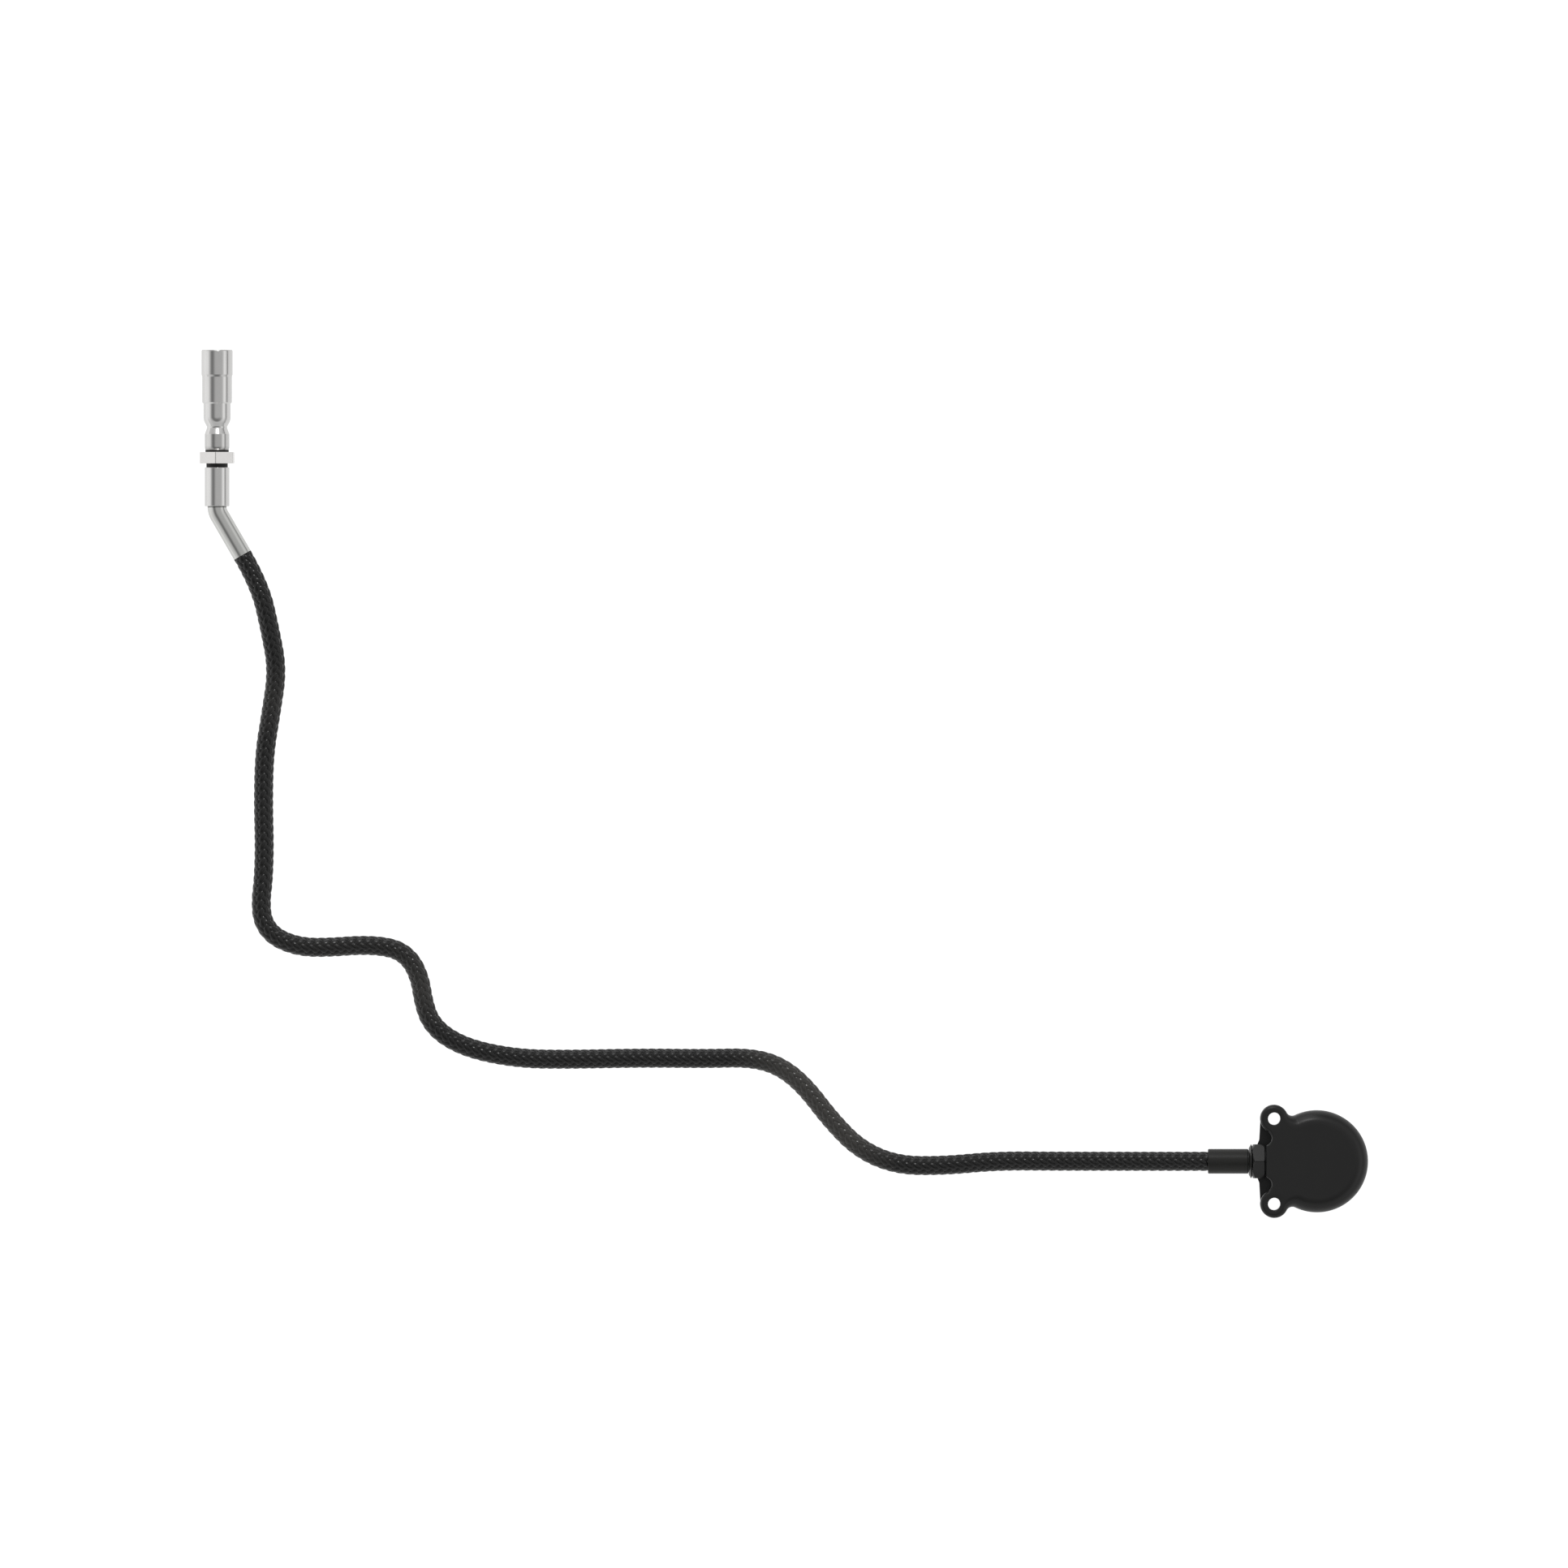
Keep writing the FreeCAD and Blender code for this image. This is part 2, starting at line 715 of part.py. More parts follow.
def cover_plan(low, high):
    """The whole plan of the cover and of the gasket: disc, ears, necks and a flat front with two pockets."""
    angle = math.radians(scallop_wall_angle)
    wall_x = scallop_x + scallop_radius * math.cos(angle)
    wall_y = scallop_y + scallop_radius * math.sin(angle)
    run = (ear_y - ear_r * math.cos(angle) - wall_y) / math.cos(angle)
    half = [
        (front_x, scallop_y),
        (wall_x, wall_y),
        (wall_x - run * math.sin(angle), wall_y + run * math.cos(angle)),
        (0, ear_y),
    ]
    points = half + [(pin_x, 0)] + [(x, -y) for x, y in reversed(half)]
    front = prism(points, low, high)
    beyond = Part.makeBox(disc_r, 2 * ear_y, high - low, V(front_x - disc_r, -ear_y, low))
    disc = post(pin_x, 0, low, high, disc_r).cut(beyond)
    pocketed = disc.fuse(front).cut(both(scallop_x, scallop_y, low, high, scallop_radius))
    return pocketed.fuse([ears(low, high), neck_webs(low, high)]).removeSplitter()


def base_plan(low, high):
    """The base plate's plan: the cover's, with a web that reaches out under the gland nut."""
    angle = math.radians(web_ear_angle)
    half = [
        (0, ear_y),
        (-ear_r * math.cos(angle), ear_y - ear_r * math.sin(angle)),
        (front_x - web_shoulder_reach, web_shoulder_half),
        (front_x - web_reach, web_half),
    ]
    points = half + [(x, -y) for x, y in reversed(half)] + [(pin_x, 0)]
    rounds = [0, 0, web_round, web_round, web_round, web_round, 0, 0, 0]
    return cover_plan(low, high).fuse(prism(points, low, high, rounds)).removeSplitter()


def top_rounding(spot):
    """How far the cover's top edge is rounded at a spot on it: widely on the disc, narrowly elsewhere."""
    on_disc = abs(math.hypot(spot.x - pin_x, spot.y) - disc_r) < flat_fit / 10
    return disc_round if on_disc and spot.x > 0 else ear_round


def rounded_top(shape, height):
    """The shape with all its top edges rounded, each from the rounding at one end to that at the other."""
    work = FreeCAD.newDocument("rounding")
    plain = work.addObject("Part::Feature", "plain")
    plain.Shape = shape
    rounded = work.addObject("Part::Fillet", "rounded")
    rounded.Base = plain
    picks = []
    for number, edge in enumerate(plain.Shape.Edges, 1):
        box = edge.BoundBox
        if abs(box.ZMin - height) < flat_fit / 10 and abs(box.ZMax - height) < flat_fit / 10:
            first = top_rounding(edge.valueAt(edge.FirstParameter))
            last = top_rounding(edge.valueAt(edge.LastParameter))
            picks.append((number, first, last))
    rounded.Edges = picks
    work.recompute()
    result = rounded.Shape.copy()
    FreeCAD.closeDocument("rounding")
    return result


def screw_places():
    """The four cover screws stand near the cavity's wall, between the drive and the ears."""
    reach = (cavity_r - screw_circle_inset) * math.sqrt(0.5)
    return [(pin_x + sx * reach, sy * reach) for sx in (1, -1) for sy in (1, -1)]


def posts_at(places, low, high, radius):
    """Equal upright cylinders at the given places, as one list."""
    return [post(x, y, low, high, radius) for x, y in places]


def cavity(low, high):
    """The hollow inside the cover and the gasket, which leaves the screw bosses standing."""
    bosses = posts_at(screw_places(), low, high, screw_d / 2 + screw_boss_wall)
    return post(pin_x, 0, low, high, cavity_r).cut(bosses)


def ear_holes(low, high):
    """The two screw holes through the ears."""
    return both(0, ear_y, low, high, ear_hole_r)


def make_housing_cover():
    """Cover with its ears, hollow inside, with screw bosses and a bore for the gland stud."""
    low = base_thickness + gasket_thickness
    body = rounded_top(cover_plan(low, housing_height), housing_height)
    screw_top = screw_head_sink + screw_length + screw_tip_gap
    holes = posts_at(screw_places(), low, screw_top, screw_d / 2 + seat_fit)
    holes.append(cavity(low, ceiling))
    holes.append(ear_holes(low, housing_height))
    holes.append(rod(gland, stud_inner, gland_washer_length, gland_r + seat_fit))
    holes.append(rod(gland, stud_inner, stud_inner + stud_flange_length, stud_flange_r + flat_fit))
    return body.cut(holes)


def make_base_gasket():
    """Thin gasket between the base plate and the cover."""
    low = base_thickness
    high = base_thickness + gasket_thickness
    holes = posts_at(screw_places(), low, high, screw_d / 2 + seat_fit)
    return cover_plan(low, high).cut([cavity(low, high), ear_holes(low, high)] + holes)


def screw_outline(grow):
    """A countersunk screw from its head up, grown all round by a clearance."""
    head_r = screw_head_d / 2
    shank_r = screw_d / 2
    neck = screw_head_sink + head_r - shank_r
    tip = screw_head_sink + screw_length
    return [(screw_head_sink - grow, 0), (screw_head_sink - grow, head_r + grow), (neck, shank_r + grow),
            (tip, shank_r + grow), (tip, 0)]


def make_base_plate():
    """Flat base plate with holes for the ears, the pin's bush, the screws and the rivets."""
    holes = [ear_holes(0, base_thickness), post(pin_x, 0, 0, base_thickness, bush_seat_r + seat_fit)]
    for x, y in screw_places():
        holes.append(turned(frame_at((x, y, 0), (0, 0, 1)), screw_outline(seat_fit)))
        holes.append(post(x, y, 0, screw_head_sink, screw_head_d / 2 + seat_fit))
    for x in rivet_places:
        holes.append(post(x, 0, 0, base_thickness, rivet_d / 2 + seat_fit))
    return base_plan(0, base_thickness).cut(holes)


def slot_at(x, y, low, high, length):
    """A screwdriver slot across a screw."""
    return Part.makeBox(length, slot_width, high - low, V(x - length / 2, y - slot_width / 2, low))


def make_cover_screws():
    """Four slotted countersunk screws that hold the base plate to the cover."""
    screws = []
    for x, y in screw_places():
        screw = turned(frame_at((x, y, 0), (0, 0, 1)), screw_outline(0))
        screws.append(screw.cut(slot_at(x, y, 0, screw_head_sink + slot_depth, screw_head_d)))
    return Part.makeCompound(screws)


def make_slide_cradle():
    """Channel on the base plate that guides the wedge and the pin's head, with a taller end wall."""
    body = block(cradle_start_x, cradle_end_x, cradle_half, base_thickness, cradle_top)
    end_wall = block(pad_x + pad_thickness, cradle_end_x, cradle_half, base_thickness, slider_top)
    channel = block(cradle_start_x, pad_x + pad_thickness, channel_half, floor_top, cradle_top)
    holes = [channel, post(pin_x, 0, base_thickness, floor_top, bush_r + flat_fit)]
    for x in rivet_places:
        holes.append(post(x, 0, base_thickness, floor_top, rivet_d / 2 + seat_fit))
    return body.fuse(end_wall).cut(holes).removeSplitter()


def make_cradle_rivets():
    """Two rivets that hold the cradle to the base plate."""
    rivets = []
    for x in rivet_places:
        top = floor_top + rivet_head_height
        outline = [(rivet_sink, 0), (rivet_sink, rivet_d / 2), (floor_top, rivet_d / 2),
                   (floor_top, rivet_head_d / 2), (top, rivet_head_d / 2, rivet_head_height / 2), (top, 0)]
        rivets.append(turned(frame_at((x, 0, 0), (0, 0, 1)), outline))
    return Part.makeCompound(rivets)


def make_wedge_slider():
    """Wedge that the wire pushes, with flanges on the cradle's walls and a ramp below."""
    flange_half = slider_half_width + slider_flange
    flange = block(slider_start_x, slider_end_x, flange_half, cradle_top + flat_fit, slider_top)
    body = block(slider_start_x, ramp_end_x, slider_half_width, ramp_start_z, slider_top)
    ramp_end_z = ramp_start_z + (ramp_end_x - ramp_start_x) * ramp_rise
    below = [(ramp_start_x, ramp_start_z), (ramp_end_x, ramp_end_z), (ramp_end_x, ramp_start_z)]
    under_ramp = side_profile(below, slider_half_width + flat_fit)
    socket = Part.makeCylinder(wire_slide_r, socket_depth, V(slider_start_x, 0, cable_z), V(1, 0, 0))
    thread = post(grub_x, 0, cable_z, slider_top, grub_screw_d / 2 + seat_fit)
    return flange.fuse(body).cut([under_ramp, socket, thread]).removeSplitter()


def make_wire_grub_screw():
    """Slotted grub screw that clamps the wire in the wedge."""
    low = cable_z + wire_d / 2 + flat_fit
    high = slider_top - grub_screw_sink
    screw = post(grub_x, 0, low, high, grub_screw_d / 2)
    return screw.cut(slot_at(grub_x, 0, high - slot_depth, high, grub_screw_d))


def make_slider_stop_pad():
    """Rubber pad on the cradle's end wall that the wedge runs up to."""
    return block(pad_x, pad_x + pad_thickness, pad_half, cradle_top - pad_drop, slider_top)


def make_release_pin():
    """Release pin with a slanted, square head that the wedge pushes down."""
    low_x = pin_x - pin_head_length / 2
    high_x = pin_x + pin_head_length / 2
    points = [
        (low_x, pin_flange_at),
        (high_x, pin_flange_at),
        (high_x, pin_head_at + pin_head_rise),
        (low_x, pin_head_at),
    ]
    shaft = [
        (pin_recess, 0),
        (pin_recess, pin_r - pin_tip_chamfer),
        (pin_recess + pin_tip_chamfer, pin_r),
        (pin_flange_at, pin_r),
        (pin_flange_at, 0),
    ]
    return side_profile(points, slider_half_width).fuse(turned(upright, shaft)).removeSplitter()


def make_pin_bush():
    """Brass bush in the base plate that the release pin runs in."""
    outline = [
        (bush_recess, bush_bore_r),
        (bush_recess, bush_seat_r),
        (base_thickness, bush_seat_r),
        (base_thickness, bush_r),
        (base_thickness + bush_height, bush_r),
        (base_thickness + bush_height, bush_bore_r),
    ]
    return turned(upright, outline)


def make_pin_spring():
    """Return spring round the bush, under the release pin's head."""
    margin = pin_spring_wire / 2 + pin_spring_play / 2
    mean_r = bush_r + pin_spring_play + pin_spring_wire / 2
    low, high = floor_top + margin, pin_flange_at - margin
    return coil(upright, low, high, mean_r, pin_spring_wire, pin_spring_turns)


def make_plunger_spring():
    """Return spring between the barrel's floor and the cap's roof."""
    margin = plunger_spring_wire / 2 + flat_fit
    mean_r = spring_bore_r - plunger_spring_play - plunger_spring_wire / 2
    return coil(head, spring_floor + margin, cap_roof - margin, mean_r, plunger_spring_wire,
                plunger_spring_turns)


def make_cable():
    """The cable's four layers along one route: braided sheath, jacket, spiral conduit and wire."""
    past_spigot = spigot_length + spigot_gap
    start = V(cable_start[0], cable_start[1], head_z) + V(tube_way[0], tube_way[1], 0) * past_spigot
    jacket_route = [tuple(start)] + route[1:-1] + [gland_point(sheath_end + past_spigot)]
    conduit_end = gland_point(stud_inner)
    wire_end = (wire_end_x, 0, cable_z)
    return {
        "braided_sheath": tube(route, radii, sheath_bore_r, cable_r),
        "cable_jacket": tube(jacket_route, radii, bore_r, jacket_r),
        "spiral_conduit": tube(inner_route(conduit_top, conduit_end), inner_radii, wire_bore_r, conduit_r),
        "inner_wire": tube(inner_route(wire_top, wire_end), inner_radii, 0, wire_d / 2),
    }


def make_parts():
    """Every piece of the object, by name."""
    stem_seat_r = stem_r + seat_fit
    stop_ring_at = stop_face - stop_ring_length
    stop_ring = ring(head, stop_ring_at, stop_face, rod_r + seat_fit, stop_ring_r, stop_ring_chamfer)
    lock_chamfer = (lock_nut_chamfer, lock_nut_chamfer_drop)
    inner_chamfer = (gland_nut_inner_chamfer, gland_nut_inner_drop)
    outer_chamfer = (gland_nut_chamfer, gland_nut_chamfer_drop)
    parts = {
        "push_cap": make_push_cap(),
        "plunger_rod": make_plunger_rod(),
        "rod_stop_ring": stop_ring,
        "plunger_spring": make_plunger_spring(),
        "plunger_barrel": make_plunger_barrel(),
        "front_seal_ring": ring(head, front_ring_at, collar_at, stem_seat_r, stem_seat_r + front_ring_wall),
        "lock_nut": hex_nut(head, lock_nut_at, lock_nut_length, lock_nut_flats, stem_seat_r, lock_chamfer,
                            lock_chamfer, lock_nut_turn),
        "rear_seal_ring": ring(head, rear_ring_at, lock_nut_at, stem_seat_r, stem_seat_r + rear_ring_wall),
        "sleeve": make_sleeve(),
        "elbow_tube": make_elbow_tube(),
        "conduit_ferrules": make_conduit_ferrules(),
        "cable_ferrule": make_cable_ferrule(),
        "gland_collar": make_gland_collar(),
        "gland_nut": hex_nut(gland, gland_nut_at, gland_nut_length, gland_nut_flats, gland_seat_r,
                             inner_chamfer, outer_chamfer, 0),
        "gland_washer": ring(gland, 0, gland_washer_length, gland_seat_r, gland_seat_r + gland_washer_wall),
        "gland_stud": make_gland_stud(),
        "housing_cover": make_housing_cover(),
        "base_gasket": make_base_gasket(),
        "base_plate": make_base_plate(),
        "cover_screws": make_cover_screws(),
        "slide_cradle": make_slide_cradle(),
        "cradle_rivets": make_cradle_rivets(),
        "wedge_slider": make_wedge_slider(),
        "wire_grub_screw": make_wire_grub_screw(),
        "slider_stop_pad": make_slider_stop_pad(),
        "release_pin": make_release_pin(),
        "pin_bush": make_pin_bush(),
        "pin_spring": make_pin_spring(),
    }
    parts.update(make_cable())
    return parts


def main():
    """Builds the pieces, reports what was made and writes one file for each."""
    print("cable route: bend radii", [round(r, 1) for r in radii[1:-1]])
    print("housing %.2f high, disc radius %.2f, front at %.2f, cable axis at %.2f" % (
        housing_height, disc_r, front_x, cable_z))
    print("plunger %.2f long, axis at x %.2f, z %.2f, sleeve's end at y %.2f" % (
        cap_top, head_x, head_z, elbow_y + tube_stem))
    print("travel: cap %.2f, wedge %.2f, pin %.2f" % (stroke, stroke, pin_travel))
    os.makedirs("parts", exist_ok=True)
    for name, shape in make_parts().items():
        if not shape.isValid():
            print("not valid:", name)
        shape.exportStep("parts/" + name + ".step")
        print("  %-18s %9.2f mm3 in %d solid(s)" % (name, shape.Volume, len(shape.Solids)))


main()
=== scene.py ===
# %% [markdown]
# # A cable shutter release, photographed from straight above
# The real object is a nickel hand plunger, a braided black cable and a round black housing with two screw
# ears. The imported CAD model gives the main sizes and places, and this script gives the surfaces their look.
# A node is either replaced by a finer piece below, or it stays in place and only gets a finish.

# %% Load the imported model
import json
import math

import bmesh
import bpy
import numpy as np
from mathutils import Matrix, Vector
from mathutils.geometry import delaunay_2d_cdt


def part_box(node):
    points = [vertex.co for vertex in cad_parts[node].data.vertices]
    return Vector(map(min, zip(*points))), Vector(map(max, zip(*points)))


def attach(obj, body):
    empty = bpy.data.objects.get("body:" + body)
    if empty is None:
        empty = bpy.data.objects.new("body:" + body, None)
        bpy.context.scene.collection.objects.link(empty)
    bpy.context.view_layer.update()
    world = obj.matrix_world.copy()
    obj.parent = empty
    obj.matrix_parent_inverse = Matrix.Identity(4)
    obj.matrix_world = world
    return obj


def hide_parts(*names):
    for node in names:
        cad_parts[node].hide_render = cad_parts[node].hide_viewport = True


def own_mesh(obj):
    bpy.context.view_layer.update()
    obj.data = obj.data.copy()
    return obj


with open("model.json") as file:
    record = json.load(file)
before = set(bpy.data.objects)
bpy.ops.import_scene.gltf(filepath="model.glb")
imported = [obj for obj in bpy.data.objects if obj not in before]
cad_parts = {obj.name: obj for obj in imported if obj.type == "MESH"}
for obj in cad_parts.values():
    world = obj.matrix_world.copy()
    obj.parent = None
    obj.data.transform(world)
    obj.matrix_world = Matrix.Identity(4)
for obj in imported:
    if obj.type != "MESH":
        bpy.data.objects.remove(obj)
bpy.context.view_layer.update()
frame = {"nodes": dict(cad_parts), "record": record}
MM = 0.001

# %% [markdown]
# ## Places that come from the frame
# The plunger is turned about an axis along Y and the gland about an axis along X, so the boxes of their
# nodes give both axes. A station is a distance along an axis, in millimetres.

# %% Axes and stations
def mid(node, k):
    """The middle of a node's box along one axis, in millimetres."""
    low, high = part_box(node)
    return (low[k] + high[k]) / 2 / MM


def ends(node, k):
    """Where a node's box starts and ends along one axis, in millimetres."""
    low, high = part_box(node)
    return low[k] / MM, high[k] / MM


def half_width(node, k):
    """Half the width of a node's box along one axis, which is the outer radius of a turned piece."""
    low, high = ends(node, k)
    return (high - low) / 2


head_x = mid("push_cap", 0)
head_z = mid("push_cap", 2)
gland_z = mid("cable_ferrule", 2)
cap_low, cap_top = ends("push_cap", 1)
print("plunger axis x %.2f z %.2f, gland axis z %.2f" % (head_x, head_z, gland_z))

# %% [markdown]
# ## The camera
# The photograph looks straight down with hardly any perspective, so the lens is long and far away. One
# pixel of the 1932-pixel frame is 0.2066 mm at the height of the plunger's axis, and the origin of the
# model is the pixel midway between the two ear holes. The plain "Standard" view keeps white paper white.

# %% Camera
FRAME_PX = 1932
MM_PER_PX = 0.2066
ORIGIN_PX = (1569.75, 1430.8)
LENS = 1200.0
SENSOR = 36.0
view_width = FRAME_PX * MM_PER_PX
camera_data = bpy.data.cameras.new("camera")
camera_data.lens = LENS
camera_data.sensor_width = SENSOR
camera_data.clip_end = 100
camera = bpy.data.objects.new("camera", camera_data)
bpy.context.scene.collection.objects.link(camera)
view_x = (FRAME_PX / 2 - ORIGIN_PX[0]) * MM_PER_PX
view_y = (ORIGIN_PX[1] - FRAME_PX / 2) * MM_PER_PX
view_height = head_z + view_width * LENS / SENSOR
camera.location = (view_x * MM, view_y * MM, view_height * MM)
bpy.context.scene.camera = camera
bpy.context.scene.view_settings.view_transform = "Standard"
print("camera %.0f mm above the table" % view_height)

# %% [markdown]
# ## Meshes from arrays
# Every new surface is a grid of points worked out at once with numpy. The helpers below join a grid's
# points into faces, close its seams and make an object that rides on a body of the model.

# %% Mesh helpers
MERGE = 2e-7
SLIVER = 1e-8


def grid_faces(rows, columns, wrap_rows=False, first=0):
    """Four-sided faces between neighbouring points of a grid, stored row by row, whose rows close round."""
    r = np.arange(rows if wrap_rows else rows - 1)[:, None]
    c = np.arange(columns)[None, :]
    r2 = (r + 1) % rows
    c2 = (c + 1) % columns
    corners = [r * columns + c, r * columns + c2, r2 * columns + c2, r2 * columns + c]
    return np.stack(corners, axis=-1).reshape(-1, 4) + first


def tube_faces(rows, sides):
    """The faces of a tube that is stored ring by ring, with both of its ends closed."""
    lids = [np.arange(sides)[::-1], np.arange(sides) + (rows - 1) * sides]
    return [list(f) for f in grid_faces(rows, sides)] + [list(lid) for lid in lids]


def put(name, points, faces, material, body, nodes, sharp=35.0, outward=True):
    """Makes a piece from points in millimetres, closes its seams, and lets it stand for CAD nodes."""
    mesh = bpy.data.meshes.new(name)
    mesh.from_pydata((np.asarray(points) * MM).tolist(), [], [list(map(int, f)) for f in faces])
    if outward:
        work = bmesh.new()
        work.from_mesh(mesh)
        bmesh.ops.remove_doubles(work, verts=work.verts, dist=MERGE)
        bmesh.ops.dissolve_degenerate(work, edges=work.edges, dist=SLIVER)
        bmesh.ops.recalc_face_normals(work, faces=work.faces)
        work.to_mesh(mesh)
        work.free()
    mesh.polygons.foreach_set("use_smooth", np.ones(len(mesh.polygons), bool))
    mesh.set_sharp_from_angle(angle=math.radians(sharp))
    mesh.materials.append(material)
    piece = bpy.data.objects.new(name, mesh)
    bpy.context.scene.collection.objects.link(piece)
    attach(piece, body)
    if nodes:
        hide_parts(*nodes)
    print("  %-18s %6d faces" % (name, len(mesh.polygons)))
    return piece


slot_of = {s["node"]: s["material_slot"] for s in frame["record"]["subparts"]}

# %% [markdown]
# ## Finishes
# A finish is a Principled shader whose colour, roughness and bump vary a little, as they do on a real
# surface. Three effects are shared, so each is a node group: soft smudges, which change how clear a
# reflection is, fine marks that run round a turned piece, and a painted shade that darkens a joint line.

# %% Node helpers
def add(tree, kind, values=None, **settings):
    """A new shader node in a tree, with its settings and the values of its input sockets."""
    node = tree.nodes.new("ShaderNode" + kind)
    for name, value in settings.items():
        setattr(node, name, value)
    for socket, value in (values or {}).items():
        node.inputs[socket].default_value = value
    return node


def join(tree, *pairs):
    """Links the output of each pair to its input."""
    for output, entry in pairs:
        tree.links.new(output, entry)


def grey_ramp(tree, value, stops, low, high):
    """Grey levels between (place, level) stops, read at a value from 0, for low, to 1, for high."""
    node = add(tree, "ValToRGB")
    elements = node.color_ramp.elements
    while len(elements) < len(stops):
        elements.new(0.5)
    for element, (place, level) in zip(elements, stops):
        element.position = (place - low) / (high - low)
        element.color = (level, level, level, 1)
    join(tree, (value, node.inputs[0]))
    return node.outputs[0]


def new_group(name, inputs, outputs):
    """An empty shader node group with the given number inputs and number outputs."""
    group = bpy.data.node_groups.new(name, "ShaderNodeTree")
    for label, value in inputs:
        socket = group.interface.new_socket(label, in_out="INPUT", socket_type="NodeSocketFloat")
        socket.default_value = value
    for label in outputs:
        group.interface.new_socket(label, in_out="OUTPUT", socket_type="NodeSocketFloat")
    return group, group.nodes.new("NodeGroupInput"), group.nodes.new("NodeGroupOutput")


# %% Smudges: cloudy noise whose contrast can be raised
def smudge_group():
    """Puts out a value from 0 to 1 that drifts slowly over the surface."""
    group, enter, leave = new_group("smudges", [("Scale", 120.0), ("Contrast", 1.0)], ["Value"])
    where = add(group, "TexCoord")
    noise = add(group, "TexNoise", {"Detail": 6, "Roughness": 0.62})
    spread = add(group, "MapRange")
    half = add(group, "Math", {0: 0.5}, operation="DIVIDE")
    low = add(group, "Math", {0: 0.5}, operation="SUBTRACT")
    high = add(group, "Math", {0: 0.5}, operation="ADD")
    join(group,
         (where.outputs["Object"], noise.inputs["Vector"]),
         (enter.outputs["Scale"], noise.inputs["Scale"]),
         (enter.outputs["Contrast"], half.inputs[1]),
         (half.outputs[0], low.inputs[1]),
         (half.outputs[0], high.inputs[1]),
         (noise.outputs["Fac"], spread.inputs["Value"]),
         (low.outputs[0], spread.inputs["From Min"]),
         (high.outputs[0], spread.inputs["From Max"]),
         (spread.outputs[0], leave.inputs["Value"]))
    return group


# %% Turning marks: noise that changes quickly along one axis only
def turning_group():
    """Puts out the height of fine grooves that run round the X, Y or Z axis."""
    group, enter, leave = new_group(
        "turning_marks", [("Along X", 0.0), ("Along Y", 0.0), ("Along Z", 0.0)], ["Height"])
    where = add(group, "TexCoord")
    weight = add(group, "CombineXYZ")
    scaled = add(group, "VectorMath", operation="MULTIPLY")
    noise = add(group, "TexNoise", {"Scale": 1.0, "Detail": 3})
    join(group,
         (enter.outputs["Along X"], weight.inputs["X"]),
         (enter.outputs["Along Y"], weight.inputs["Y"]),
         (enter.outputs["Along Z"], weight.inputs["Z"]),
         (where.outputs["Object"], scaled.inputs[0]),
         (weight.outputs[0], scaled.inputs[1]),
         (scaled.outputs[0], noise.inputs["Vector"]),
         (noise.outputs["Fac"], leave.inputs["Height"]))
    return group


# %% Painted shade where a piece enters the next one
def painted_shade_group():
    """Puts out a share that rises from 0 to its full value between two places along Y, in metres."""
    group, enter, leave = new_group(
        "painted_shade_band", [("Unshaded Y", 0.0), ("Dark Y", 1.0), ("Share", 1.0)], ["Mask"])
    where = add(group, "TexCoord")
    split = add(group, "SeparateXYZ")
    rise = add(group, "MapRange")
    join(group,
         (where.outputs["Object"], split.inputs[0]),
         (split.outputs["Y"], rise.inputs["Value"]),
         (enter.outputs["Unshaded Y"], rise.inputs["From Min"]),
         (enter.outputs["Dark Y"], rise.inputs["From Max"]),
         (enter.outputs["Share"], rise.inputs["To Max"]),
         (rise.outputs[0], leave.inputs["Mask"]))
    return group


smudges = smudge_group()
turning_marks = turning_group()
painted_shade_band = painted_shade_group()
print("shared effects: %s" % ", ".join(group.name for group in bpy.data.node_groups))

# %% A finish made of smudges and of turning marks or grain
RELIEF_DEPTH = 0.00002
SMUDGE_CONTRAST = 1.6


def finish(name, colour, second, roughness, metallic=0.0, smudge_scale=150.0, marks=None, bump=0.1,
           grain_scale=2500.0, specular=0.5):
    """A material between two colours and two roughnesses, with turning marks or grain as its bump."""
    material = bpy.data.materials.new(name)
    material.use_nodes = True
    tree = material.node_tree
    shader = tree.nodes["Principled BSDF"]
    shader.inputs["Metallic"].default_value = metallic
    shader.inputs["Specular IOR Level"].default_value = specular
    smudge = add(tree, "Group", {"Scale": smudge_scale, "Contrast": SMUDGE_CONTRAST}, node_tree=smudges)
    mix = add(tree, "Mix", {"A": (*colour, 1), "B": (*second, 1)}, data_type="RGBA")
    rough = add(tree, "MapRange", {"To Min": roughness[0], "To Max": roughness[1]})
    raised = add(tree, "Bump", {"Strength": bump, "Distance": RELIEF_DEPTH})
    if marks:
        scales = dict(zip(("Along X", "Along Y", "Along Z"), marks))
        relief = add(tree, "Group", scales, node_tree=turning_marks).outputs["Height"]
    else:
        grain = add(tree, "TexNoise", {"Scale": grain_scale, "Detail": 4})
        join(tree, (add(tree, "TexCoord").outputs["Object"], grain.inputs["Vector"]))
        relief = grain.outputs["Fac"]
    join(tree,
         (smudge.outputs["Value"], mix.inputs["Factor"]),
         (smudge.outputs["Value"], rough.inputs["Value"]),
         (mix.outputs["Result"], shader.inputs["Base Color"]),
         (rough.outputs[0], shader.inputs["Roughness"]),
         (relief, raised.inputs["Height"]),
         (raised.outputs["Normal"], shader.inputs["Normal"]))
    return material


